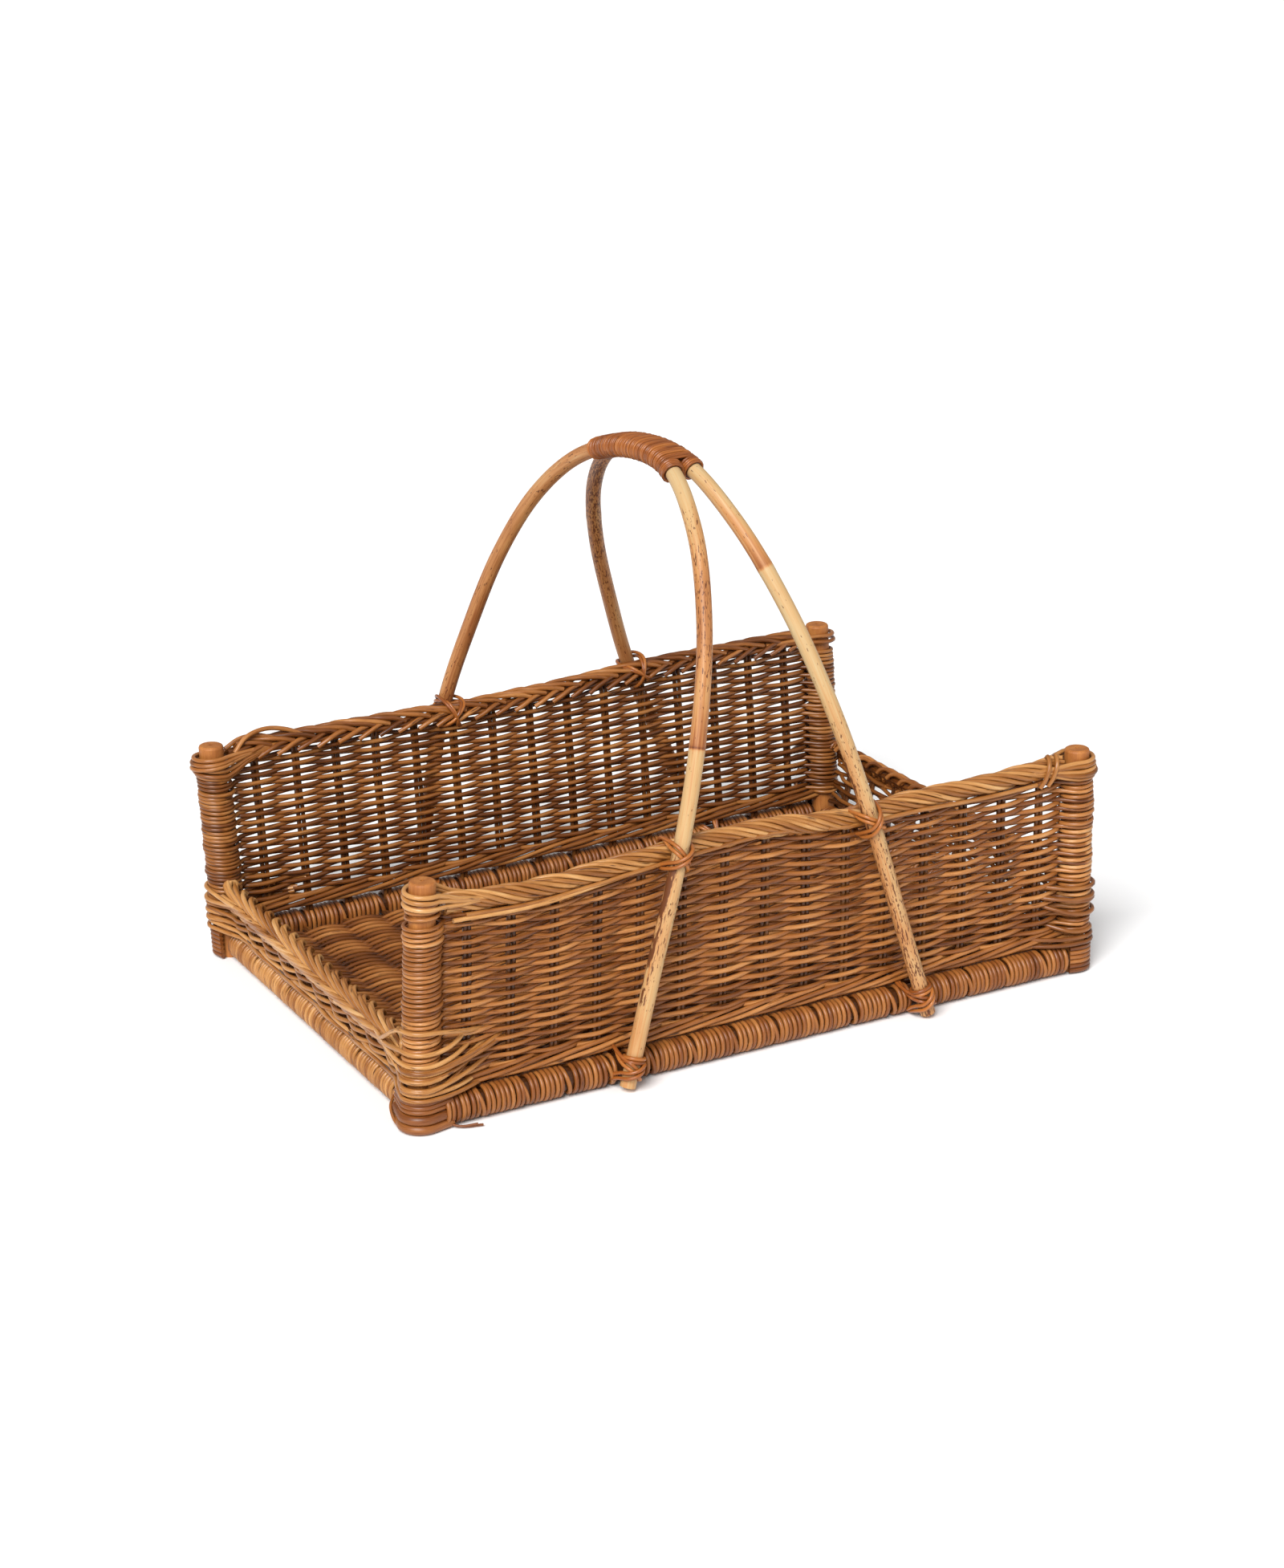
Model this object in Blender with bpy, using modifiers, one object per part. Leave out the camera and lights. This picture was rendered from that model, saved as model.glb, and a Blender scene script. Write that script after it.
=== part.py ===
# Open-ended rattan carrying basket: four posts on a wrapped base frame, woven
# walls and floor, and a fixed carrying handle of two bent rods bound together.
# Units are metres, +Z is up, the front long wall faces -Y, and z = 0 is the floor.

import math

import bpy
import bmesh
import numpy as np
from mathutils import Matrix, Vector

# Clearance between neighbouring pieces
GAP = 0.0003

# Corner posts, spaced at their tops
POST_SPACING_X = 0.550
POST_SPACING_Y = 0.366
POST_DIAMETER = 0.019
POST_CHAMFER = 0.0015
POST_HEIGHT_FRONT_LEFT = 0.183
POST_HEIGHT_FRONT_RIGHT = 0.179
POST_HEIGHT_BACK_LEFT = 0.174
POST_HEIGHT_BACK_RIGHT = 0.182

# How far each post's foot stands outside its top along X, as the hand-made base leans
FOOT_SPLAY_FRONT_LEFT = 0.008
FOOT_SPLAY_FRONT_RIGHT = 0.000
FOOT_SPLAY_BACK_LEFT = -0.008
FOOT_SPLAY_BACK_RIGHT = 0.008

# Cane wound round the posts, thicker where the walls' strands go round with it
WRAP_THICKNESS = 0.0042
WRAP_TOP_THICKNESS = 0.0016
WRAP_SHOULDER = 0.148
POST_BARE_TOP = 0.009

# Base rods bent round the corners, doubled at the front left where their ends overlap
CORNER_BAND_THICKNESS = 0.0060
DOUBLED_BAND_THICKNESS = 0.0085
CORNER_BAND_FOOT = 0.0015
CORNER_BAND_SWEEP = math.radians(150)
# Length below the floor at which a leaning post is drawn before it is sawn off level
FOOT_TRIM = 0.002

# Base rails and the strands bound round them between the stakes
RAIL_DIAMETER = 0.024
RAIL_CORE_DIAMETER = 0.0168
RAIL_BINDING_GROOVE = 0.0012
RAIL_BINDING_SETBACK = 0.003
LEAST_BUNDLE_SHARE = 0.2
LONG_RAIL_OUTSET = 0.004
END_RAIL_INSET = 0.004

# Stakes: pairs of thin rods that the strands are woven over
LONG_WALL_STAKES = 15
END_WALL_STAKES = 10
STAKE_WIDTH = 0.0060
STAKE_THICKNESS = 0.0028
STAKE_TOP_COVER = 0.004

# Woven walls and floor
LONG_WALL_THICKNESS = 0.0085
END_WALL_THICKNESS = 0.0070
LONG_WALING_DIAMETER = 0.0080
END_WALING_DIAMETER = 0.0070
END_WALL_LEAN = math.radians(14)
FLOOR_CENTRE_HEIGHT = 0.0105
FLOOR_THICKNESS = 0.0090
FLOOR_WALING_DIAMETER = 0.0060
# Thickness of the weave midway between stakes, where the strands cross
LONG_WALL_WAIST = 0.0042
END_WALL_WAIST = 0.0040
FLOOR_WAIST = 0.0042
# How far the full thickness reaches past each side of a stake's slot
SWELL_MARGIN = 0.0015
# How much thicker a blank is on each face than the sheet that is cut from it
BLANK_MARGIN = 0.001
# Slits through the long walls, for the light between their strands
SLITS_ACROSS = 12
SLIT_ROWS = 3
SLIT_WIDTH = 0.022
SLIT_HEIGHT = 0.0046

# Borders: a rope on the front wall, plaits on the others
BORDER_DIAMETER = 0.015
SHOULDER_CLEARANCE = 0.001
FRONT_BORDER_HEIGHTS = (0.1625, 0.159, 0.163, 0.167, 0.168, 0.162, 0.165, 0.1655, 0.1685)
BACK_BORDER_HEIGHTS = (0.166, 0.166, 0.1655, 0.1645, 0.1655, 0.1685, 0.1715, 0.1715, 0.172)
PLAIT_WIDTH = 0.022
PLAIT_THICKNESS = 0.011
PLAIT_HEIGHT_LEFT = 0.056
PLAIT_HEIGHT_RIGHT = 0.069

# Handle: two rods, parallel in the grip and splayed towards their four feet
ROD_DIAMETER = 0.012
ROD_SIDE_GAP = 0.0004
ROD_FOOT_CLEARANCE = 0.001
HANDLE_TOP = 0.4147
HANDLE_CENTRE_X = -0.0074
HANDLE_CROSSING_HEIGHT = 0.168
HANDLE_SKEW = math.radians(-2.6)
SPLAY_LEFT_FRONT = math.radians(16.9)
SPLAY_LEFT_BACK = math.radians(10.3)
SPLAY_RIGHT_FRONT = math.radians(16.1)
SPLAY_RIGHT_BACK = math.radians(24.4)
SPLAY_BLEND = 0.040
# The bent arch from front to back: shares of its half depth and of its rise
ARCH_SHAPE = (
    (-0.931, 0.329), (-0.799, 0.620), (-0.601, 0.847), (-0.353, 0.986), (-0.051, 1.000),
    (0.261, 0.922), (0.530, 0.761), (0.736, 0.539), (0.884, 0.279),
)

# Grip binding and lashings
GRIP_LENGTH = 0.110
GRIP_CENTRE_Y = -0.024
GRIP_TURNS = 24
GRIP_STRAND_DIAMETER = 0.0032
LASHING_DIAMETER = 0.0028
LASHING_LAYER_GAP = 0.0014
LASHING_REACH = 0.85
LEAST_SELF_GAP = 0.0004

# Number of sides and of points on round work, and how close points are welded
POST_SIDES = 16
RAIL_SIDES = 12
CORNER_BAND_POINTS = 11
ROD_SPAN_POINTS = 3
ARCH_FINE_POINTS = 40
BORDER_POINTS = 17
BORDER_SPAN_POINTS = 12
PLAIT_SIDES = 12
GRIP_ARC_POINTS = 6
LASHING_ARC_POINTS = 7
WELD_DISTANCE = 0.00002

# Colours, linear
POST_COLOUR = (0.38, 0.16, 0.055)
WRAP_COLOUR = (0.45, 0.21, 0.072)
RAIL_COLOUR = (0.30, 0.12, 0.040)
WEAVE_COLOUR = (0.36, 0.165, 0.060)
BORDER_COLOUR = (0.40, 0.19, 0.070)
ROD_COLOUR = (0.66, 0.43, 0.20)
LASHING_COLOUR = (0.36, 0.125, 0.036)

# Sizes that follow from the ones above
POST_X = POST_SPACING_X / 2
POST_Y = POST_SPACING_Y / 2
POST_RADIUS = POST_DIAMETER / 2
WRAP_INNER = POST_RADIUS + GAP
WRAP_RADIUS = WRAP_INNER + WRAP_THICKNESS
WRAP_TOP_RADIUS = WRAP_INNER + WRAP_TOP_THICKNESS
RAIL_RADIUS = RAIL_DIAMETER / 2
RAIL_CORE_RADIUS = RAIL_CORE_DIAMETER / 2
LONG_RAIL_Y = POST_Y + LONG_RAIL_OUTSET
WALL_FOOT = RAIL_DIAMETER + GAP
BORDER_RADIUS = BORDER_DIAMETER / 2
ROD_RADIUS = ROD_DIAMETER / 2
LASHING_RADIUS = LASHING_DIAMETER / 2
LONG_STAKE_PITCH = POST_SPACING_X / (LONG_WALL_STAKES + 1)
END_STAKE_PITCH = POST_SPACING_Y / (END_WALL_STAKES + 1)

FRONT, BACK, LEFT, RIGHT = -1, 1, -1, 1
Y_NAMES = {FRONT: "front", BACK: "back"}
X_NAMES = {LEFT: "left", RIGHT: "right"}
POST_HEIGHTS = {
    (LEFT, FRONT): POST_HEIGHT_FRONT_LEFT,
    (RIGHT, FRONT): POST_HEIGHT_FRONT_RIGHT,
    (LEFT, BACK): POST_HEIGHT_BACK_LEFT,
    (RIGHT, BACK): POST_HEIGHT_BACK_RIGHT,
}
FOOT_SPLAYS = {
    (LEFT, FRONT): FOOT_SPLAY_FRONT_LEFT,
    (RIGHT, FRONT): FOOT_SPLAY_FRONT_RIGHT,
    (LEFT, BACK): FOOT_SPLAY_BACK_LEFT,
    (RIGHT, BACK): FOOT_SPLAY_BACK_RIGHT,
}
PLAIT_HEIGHTS = {LEFT: PLAIT_HEIGHT_LEFT, RIGHT: PLAIT_HEIGHT_RIGHT}
# How far each leg moves in X for each metre of height
SPLAYS = {
    LEFT: (math.tan(SPLAY_LEFT_FRONT), math.tan(SPLAY_LEFT_BACK)),
    RIGHT: (math.tan(SPLAY_RIGHT_FRONT), math.tan(SPLAY_RIGHT_BACK)),
}
BORDER_HEIGHTS = {FRONT: FRONT_BORDER_HEIGHTS, BACK: BACK_BORDER_HEIGHTS}


# Scene set-up

for old in list(bpy.data.objects):
    bpy.data.objects.remove(old, do_unlink=True)

parts = bpy.data.collections.new("rattan_carrying_basket")
cutters = bpy.data.collections.new("cutters")
bpy.context.scene.collection.children.link(parts)
bpy.context.scene.collection.children.link(cutters)


def rattan(name, colour, roughness):
    """A plain cane finish for one part."""
    finish = bpy.data.materials.new(name)
    finish.use_nodes = True
    shader = finish.node_tree.nodes["Principled BSDF"]
    shader.inputs["Base Color"].default_value = (*colour, 1.0)
    shader.inputs["Roughness"].default_value = roughness
    shader.inputs["Metallic"].default_value = 0.0
    return finish


def add_part(name, data, colour, place=Matrix(), roughness=0.55):
    """Puts mesh or curve data in the scene as one named part with its own material."""
    data.name = name
    data.materials.clear()
    data.materials.append(rattan(name, colour, roughness))
    part = bpy.data.objects.new(name, data)
    part.matrix_world = place
    parts.objects.link(part)
    return part


# Ways of making a shape

ALONG_X = Matrix.Rotation(math.pi / 2, 4, "Y")
ALONG_Y = Matrix.Rotation(-math.pi / 2, 4, "X")
UPRIGHT = Matrix.Rotation(math.pi / 2, 4, "X")
SIDEWAYS = Matrix.Rotation(math.pi / 2, 4, "Z")


def turned(name, profile, closed, sides, colour, place=Matrix()):
    """Turns a profile of (radius, height) points, top to bottom on its outer side."""
    mesh = bpy.data.meshes.new(name)
    edges = [(i, i + 1) for i in range(len(profile) - 1)]
    if closed:
        edges.append((len(profile) - 1, 0))
    mesh.from_pydata([(radius, 0, height) for radius, height in profile], edges, [])
    part = add_part(name, mesh, colour, place)
    screw = part.modifiers.new("turn", "SCREW")
    screw.axis = "Z"
    screw.angle = math.tau
    screw.steps = sides
    screw.render_steps = sides
    screw.use_merge_vertices = True
    screw.merge_threshold = WELD_DISTANCE
    return part


def tube(name, points, radius, colour, place=Matrix(), resolution=2):
    """A round rod along a list of points, with closed ends."""
    curve = bpy.data.curves.new(name, "CURVE")
    curve.dimensions = "3D"
    curve.bevel_depth = radius
    curve.bevel_resolution = resolution
    curve.use_fill_caps = True
    spline = curve.splines.new("POLY")
    spline.points.add(len(points) - 1)
    for knot, point in zip(spline.points, points):
        knot.co = (*point, 1.0)
    return add_part(name, curve, colour, place)


def flat_outline(name, outline, thickness):
    """A flat outline in its own XY plane, filled and given its thickness."""
    curve = bpy.data.curves.new(name, "CURVE")
    curve.dimensions = "2D"
    curve.fill_mode = "BOTH"
    curve.extrude = thickness / 2
    spline = curve.splines.new("POLY")
    spline.points.add(len(outline) - 1)
    for knot, (across, up) in zip(spline.points, outline):
        knot.co = (across, up, 0.0, 1.0)
    spline.use_cyclic_u = True
    return curve


def as_mesh(part):
    """Replaces a curve part by its mesh, with the caps welded on, so that it can be cut."""
    bpy.context.view_layer.update()
    evaluated = part.evaluated_get(bpy.context.evaluated_depsgraph_get())
    mesh = bpy.data.meshes.new_from_object(evaluated)
    shape = bmesh.new()
    shape.from_mesh(mesh)
    bmesh.ops.remove_doubles(shape, verts=shape.verts, dist=WELD_DISTANCE)
    bmesh.ops.recalc_face_normals(shape, faces=shape.faces)
    shape.to_mesh(mesh)
    shape.free()
    name = part.name
    place = part.matrix_world.copy()
    bpy.data.objects.remove(part, do_unlink=True)
    mesh.name = name
    solid = bpy.data.objects.new(name, mesh)
    solid.matrix_world = place
    parts.objects.link(solid)
    return solid


def boxes_mesh(name, boxes):
    """One mesh of separate boxes, each given as its low and high corner."""
    shape = bmesh.new()
    for low, high in boxes:
        made = bmesh.ops.create_cube(shape, size=1.0)
        size = [high[i] - low[i] for i in range(3)]
        centre = [(high[i] + low[i]) / 2 for i in range(3)]
        bmesh.ops.scale(shape, vec=size, verts=made["verts"])
        bmesh.ops.translate(shape, vec=centre, verts=made["verts"])
    mesh = bpy.data.meshes.new(name)
    shape.to_mesh(mesh)
    shape.free()
    return mesh


def combine(part, tool, operation):
    """Joins another object to a part, or cuts it away, and keeps it with the cutters."""
    for group in list(tool.users_collection):
        group.objects.unlink(tool)
    cutters.objects.link(tool)
    tool.name = part.name + "_" + operation.lower()
    tool.hide_render = True
    tool.display_type = "WIRE"
    step = part.modifiers.new(operation.lower(), "BOOLEAN")
    step.operation = operation
    step.solver = "EXACT"
    step.object = tool


def combine_boxes(part, boxes, operation, place=Matrix()):
    """Joins boxes to a part, or cuts them away."""
    tool = bpy.data.objects.new("boxes", boxes_mesh("boxes", boxes))
    tool.matrix_world = place
    combine(part, tool, operation)


def ease(knots, spans):
    """A smooth path through knots, with the given number of steps in each span."""
    knots = np.asarray(knots, float)
    steps = np.linalg.norm(np.diff(knots, axis=0), axis=1)
    slopes = np.diff(knots, axis=0) / steps[:, None]
    tangents = np.empty_like(knots)
    tangents[0] = slopes[0]
    tangents[-1] = slopes[-1]
    weights = steps[:-1] / (steps[:-1] + steps[1:])
    tangents[1:-1] = slopes[:-1] * (1 - weights)[:, None] + slopes[1:] * weights[:, None]
    path = [knots[0]]
    for i, length in enumerate(steps):
        for k in range(1, spans + 1):
            t = k / spans
            path.append(
                (2 * t**3 - 3 * t**2 + 1) * knots[i]
                + (t**3 - 2 * t**2 + t) * length * tangents[i]
                + (3 * t**2 - 2 * t**3) * knots[i + 1]
                + (t**3 - t**2) * length * tangents[i + 1]
            )
    return np.array(path)


# Corners: post, the cane wound round it, and the base rods bent past its foot

def post_x(corner, z):
    """X of a post's centre line at a height."""
    return corner[0] * (POST_X + FOOT_SPLAYS[corner] * (1 - z / POST_HEIGHTS[corner]))


def corner_face(corner, radius, low, high):
    """X where a rail or wall ends against a corner, clear of it over a range of heights."""
    slope = math.hypot(1, FOOT_SPLAYS[corner] / POST_HEIGHTS[corner])
    nearest = min(abs(post_x(corner, low)), abs(post_x(corner, high)))
    return corner[0] * (nearest - radius * slope - GAP)


def make_corner(corner):
    """One post with its foot sawn level, its wrapping and its corner band."""
    side_x, side_y = corner
    where = Y_NAMES[side_y] + "_" + X_NAMES[side_x]
    height = POST_HEIGHTS[corner]
    foot = Vector((post_x(corner, 0), side_y * POST_Y, 0))
    lean = Matrix.Rotation(math.atan2(post_x(corner, height) - foot.x, height), 4, "Y")
    place = Matrix.Translation(foot) @ lean
    profile = [
        (0, height),
        (POST_RADIUS - POST_CHAMFER, height),
        (POST_RADIUS, height - POST_CHAMFER),
        (POST_RADIUS, -FOOT_TRIM),
        (0, -FOOT_TRIM),
    ]
    post = turned("post_" + where, profile, False, POST_SIDES, POST_COLOUR, place)
    ground = (foot - Vector((1, 1, 1)) * POST_DIAMETER, foot + Vector((1, 1, 0)) * POST_DIAMETER)
    combine_boxes(post, [ground], "DIFFERENCE")
    wrap_top = height - POST_BARE_TOP
    profile = [
        (WRAP_TOP_RADIUS, wrap_top),
        (WRAP_TOP_RADIUS, WRAP_SHOULDER),
        (WRAP_RADIUS, WRAP_SHOULDER - WRAP_RADIUS + WRAP_TOP_RADIUS),
        (WRAP_RADIUS, WALL_FOOT),
        (WRAP_INNER, WALL_FOOT),
        (WRAP_INNER, wrap_top),
    ]
    turned("post_wrap_" + where, profile, True, POST_SIDES, WRAP_COLOUR, place)
    thickness = DOUBLED_BAND_THICKNESS if corner == (LEFT, FRONT) else CORNER_BAND_THICKNESS
    outer = WRAP_INNER + thickness
    facing = math.atan2(side_y, side_x)
    half_sweep = CORNER_BAND_SWEEP / 2
    turns = np.linspace(facing - half_sweep, facing + half_sweep, CORNER_BAND_POINTS)
    outline = [(outer * math.cos(a), outer * math.sin(a)) for a in turns]
    outline += [(WRAP_INNER * math.cos(a), WRAP_INNER * math.sin(a)) for a in turns[::-1]]
    name = "corner_band_" + where
    band = flat_outline(name, outline, RAIL_DIAMETER - CORNER_BAND_FOOT)
    middle = Matrix.Translation((0, 0, (RAIL_DIAMETER + CORNER_BAND_FOOT) / 2))
    add_part(name, band, RAIL_COLOUR, place @ middle)


for side_x in (LEFT, RIGHT):
    for side_y in (FRONT, BACK):
        make_corner((side_x, side_y))


# Handle shape: both hoops share one arch in Y and Z and splay apart in X

LEG_FOOT_Y = LONG_RAIL_Y + RAIL_RADIUS + GAP + ROD_RADIUS
LEG_CROSSING_Y = POST_Y + BORDER_RADIUS + 2 * GAP + ROD_RADIUS
ARCH_RISE = HANDLE_TOP - HANDLE_CROSSING_HEIGHT
WIDEST_SPLAY = max(SPLAY_LEFT_FRONT, SPLAY_LEFT_BACK, SPLAY_RIGHT_FRONT, SPLAY_RIGHT_BACK)
ROD_FOOT_HEIGHT = ROD_FOOT_CLEARANCE + ROD_RADIUS * math.sin(WIDEST_SPLAY)


def arch_path(spans):
    """The hoops' shared path in Y and Z, from the front foot to the back foot."""
    middle_y = (LEG_FOOT_Y + LEG_CROSSING_Y) / 2
    middle_z = HANDLE_CROSSING_HEIGHT / 2
    knots = [(-LEG_FOOT_Y, ROD_FOOT_HEIGHT), (-middle_y, middle_z)]
    knots.append((-LEG_CROSSING_Y, HANDLE_CROSSING_HEIGHT))
    for across, up in ARCH_SHAPE:
        knots.append((across * LEG_CROSSING_Y, HANDLE_CROSSING_HEIGHT + up * ARCH_RISE))
    knots.append((LEG_CROSSING_Y, HANDLE_CROSSING_HEIGHT))
    knots += [(middle_y, middle_z), (LEG_FOOT_Y, ROD_FOOT_HEIGHT)]
    return ease(knots, spans)


ARCH_FINE = arch_path(ARCH_FINE_POINTS)
ARCH_PEAK = ARCH_FINE[:, 1].max()


def hoop_x(side, y, z):
    """Where a hoop's centre line stands in X at a point of the arch."""
    front, back = SPLAYS[side]
    share = 0.5 - 0.5 * math.tanh(y / SPLAY_BLEND)
    splay = front * share + back * (1 - share)
    apart = (ROD_DIAMETER + ROD_SIDE_GAP) / 2 + splay * (ARCH_PEAK - z)
    return HANDLE_CENTRE_X + math.tan(HANDLE_SKEW) * y + side * apart


def leg_at(side_x, side_y, z):
    """X of a leg's centre line and its distance out from the middle, at a height below the arch."""
    half = ARCH_FINE[: len(ARCH_FINE) // 2]
    outward = float(np.interp(z, half[:, 1], -half[:, 0]))
    return hoop_x(side_x, side_y * outward, z), outward


for side_x in (LEFT, RIGHT):
    centre_line = [(hoop_x(side_x, y, z), y, z) for y, z in arch_path(ROD_SPAN_POINTS)]
    tube("handle_hoop_" + X_NAMES[side_x], centre_line, ROD_RADIUS, ROD_COLOUR)


# Borders of the long walls, their height a smooth line through a few stations

def border_ends(side_y):
    """X of a long border's two ends, between the wrapped posts."""
    heights = BORDER_HEIGHTS[side_y]
    low, high = min(heights) - BORDER_RADIUS, max(heights) + BORDER_RADIUS
    left = corner_face((LEFT, side_y), WRAP_TOP_RADIUS, low, high)
    return left, corner_face((RIGHT, side_y), WRAP_TOP_RADIUS, low, high)


def border_height(side_y, x):
    """Height of a long border's centre line at a place along it, level at both ends."""
    heights = BORDER_HEIGHTS[side_y]
    left, right = border_ends(side_y)
    stations = np.linspace(left + BORDER_RADIUS, right - BORDER_RADIUS, len(heights))
    line = ease(list(zip(stations, heights)), BORDER_SPAN_POINTS)
    return float(np.interp(x, line[:, 0], line[:, 1]))


def border_stations(side_y):
    """Places along a long border from end to end."""
    left, right = border_ends(side_y)
    inner = np.linspace(left + BORDER_RADIUS, right - BORDER_RADIUS, BORDER_POINTS)
    return [left, *(float(x) for x in inner), right]


for side_y in (FRONT, BACK):
    stations = border_stations(side_y)
    centre_line = [(x, side_y * POST_Y, border_height(side_y, x)) for x in stations]
    tube("border_" + Y_NAMES[side_y], centre_line, BORDER_RADIUS, BORDER_COLOUR)


# Sizes of the lashings, which the walls and bindings leave room for

LASHING_ARC_STEP = math.pi / (LASHING_ARC_POINTS - 1)
CHORD_EASE = 1 / math.cos(LASHING_ARC_STEP / 2)
BORDER_RING = (BORDER_RADIUS + 2 * GAP + LASHING_RADIUS) * CHORD_EASE
RAIL_RING = (RAIL_CORE_RADIUS + GAP + LASHING_RADIUS) * CHORD_EASE


def leg_splay(side_x, side_y):
    """How far a leg moves in X for each metre of height."""
    return SPLAYS[side_x][0 if side_y == FRONT else 1]


def lashing_side(side_x, side_y):
    """Distance from a leg's centre line to the strand that passes beside it."""
    lean = math.hypot(1.0, leg_splay(side_x, side_y))
    return (ROD_RADIUS * lean + GAP + LASHING_RADIUS) * CHORD_EASE


def lashing_room(side_x, side_y, ring):
    """Half the width in X that a lashing takes where it passes round a rail or border."""
    lean = leg_splay(side_x, side_y) * ring
    return lashing_side(side_x, side_y) + LASHING_RADIUS + 2 * GAP + lean


def border_crossing(side_x, side_y):
    """Height of the border where a leg is lashed to it."""
    return border_height(side_y, leg_at(side_x, side_y, HANDLE_CROSSING_HEIGHT)[0])


# Base rails, with the binding left open where a foot of the handle is lashed

def make_rail(name, low, high, place):
    """A rail's core rod, along its own Z."""
    profile = [(0, high), (RAIL_CORE_RADIUS, high), (RAIL_CORE_RADIUS, low), (0, low)]
    turned(name, profile, False, RAIL_SIDES, RAIL_COLOUR, place)


def make_binding(name, low, high, pitch, place):
    """Bundles of strands round a rail, drawn in at each stake."""
    first = math.ceil(low / pitch + LEAST_BUNDLE_SHARE)
    last = math.floor(high / pitch - LEAST_BUNDLE_SHARE)
    waists = [low] + [i * pitch for i in range(first, last + 1)] + [high]
    outer = [(RAIL_RADIUS - RAIL_BINDING_GROOVE, waists[0])]
    for start, end in zip(waists, waists[1:]):
        outer.append((RAIL_RADIUS, (start + end) / 2))
        outer.append((RAIL_RADIUS - RAIL_BINDING_GROOVE, end))
    inner = RAIL_CORE_RADIUS + GAP
    profile = outer[::-1] + [(inner, low), (inner, high)]
    turned(name, profile, True, RAIL_SIDES, WRAP_COLOUR, place)


def end_line(side_x):
    """Middle of one end's rail, half the distance between its posts, and its turn in plan."""
    front = Vector((post_x((side_x, FRONT), RAIL_RADIUS), -POST_Y))
    back = Vector((post_x((side_x, BACK), RAIL_RADIUS), POST_Y))
    middle = (front.x + back.x) / 2 - side_x * END_RAIL_INSET
    turn = math.atan2(front.x - back.x, back.y - front.y)
    return middle, (back - front).length / 2, turn


def end_rail_x(side_x, y):
    """X of an end rail's centre line at a place across the basket."""
    middle, _, turn = end_line(side_x)
    return middle - y * math.tan(turn)


for side_y in (FRONT, BACK):
    where = Y_NAMES[side_y]
    place = Matrix.Translation((0, side_y * LONG_RAIL_Y, RAIL_RADIUS)) @ ALONG_X
    left = corner_face((LEFT, side_y), POST_RADIUS, 0, RAIL_DIAMETER)
    right = corner_face((RIGHT, side_y), POST_RADIUS, 0, RAIL_DIAMETER)
    make_rail("base_rail_" + where, left, right, place)
    edges = [left + RAIL_BINDING_SETBACK]
    for side_x in (LEFT, RIGHT):
        foot = leg_at(side_x, side_y, RAIL_RADIUS)[0]
        room = lashing_room(side_x, side_y, RAIL_RING)
        edges += [foot - room, foot + room]
    edges.append(right - RAIL_BINDING_SETBACK)
    for i, stretch in enumerate(("left", "middle", "right")):
        name = "rail_binding_" + where + "_" + stretch
        make_binding(name, edges[2 * i], edges[2 * i + 1], LONG_STAKE_PITCH, place)

for side_x in (LEFT, RIGHT):
    where = X_NAMES[side_x]
    middle, half, turn = end_line(side_x)
    place = Matrix.Translation((middle, 0, RAIL_RADIUS)) @ Matrix.Rotation(turn, 4, "Z") @ ALONG_Y
    reach = half - POST_RADIUS - GAP
    make_rail("base_rail_" + where, -reach, reach, place)
    reach -= RAIL_BINDING_SETBACK
    make_binding("rail_binding_" + where, -reach, reach, END_STAKE_PITCH, place)


# Woven walls: a panel over stakes that stand in the waling at the wall's foot

HALF_STAKE_WIDTH = STAKE_WIDTH / 2
HALF_STAKE_THICKNESS = STAKE_THICKNESS / 2


def stake_places(count, pitch):
    """Places of a wall's stakes along it, about its middle."""
    return [(i - (count - 1) / 2) * pitch for i in range(count)]


def upright_stake(x, wall_y, foot, top, clearance):
    """Box of one stake of a long wall, or of its slot."""
    wide, thick = HALF_STAKE_WIDTH + clearance, HALF_STAKE_THICKNESS + clearance
    return (x - wide, wall_y - thick, foot), (x + wide, wall_y + thick, top + clearance)


def swollen_sheet(name, count, pitch, thickness, waist, depth):
    """A prism along Z, thick over its stakes and at the posts, and thin midway between them."""
    half = HALF_STAKE_WIDTH + GAP + SWELL_MARGIN
    edge = []
    for place in stake_places(count + 2, pitch):
        edge += [(place - half, thickness / 2), (place + half, thickness / 2)]
        edge.append((place + pitch / 2, waist / 2))
    edge.pop()
    outline = [(along, -out) for along, out in edge] + edge[::-1]
    return flat_outline(name, outline, depth)


def cut_to_sheet(panel, sheet, place):
    """Cuts a panel's blank to the sheet that swells over the stakes."""
    tool = as_mesh(add_part(panel.name + "_sheet", sheet, WEAVE_COLOUR, place))
    combine(panel, tool, "INTERSECT")


def wall_slits(wall_y, low, high):
    """Boxes of the slits through a long wall, each between two stakes."""
    boxes = []
    for row in range(SLIT_ROWS):
        z = low + (high - low) * (row + 0.5) / SLIT_ROWS
        for x in stake_places(SLITS_ACROSS, LONG_STAKE_PITCH):
            low_corner = (x - SLIT_WIDTH / 2, wall_y - LONG_WALL_THICKNESS, z - SLIT_HEIGHT / 2)
            high_corner = (x + SLIT_WIDTH / 2, wall_y + LONG_WALL_THICKNESS, z + SLIT_HEIGHT / 2)
            boxes.append((low_corner, high_corner))
    return boxes


def end_stake(y, foot, top, clearance):
    """Box of one stake of an end wall, or of its slot, in the leaning wall's own frame."""
    wide, thick = HALF_STAKE_WIDTH + clearance, HALF_STAKE_THICKNESS + clearance
    return (-thick, y - wide, foot), (thick, y + wide, top + clearance)


NOTCH_DEPTH = BORDER_RING + LASHING_RADIUS + GAP - BORDER_RADIUS
LONG_WALING_RADIUS = LONG_WALING_DIAMETER / 2
LONG_PANEL_FOOT = WALL_FOOT + LONG_WALING_DIAMETER + GAP


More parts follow.
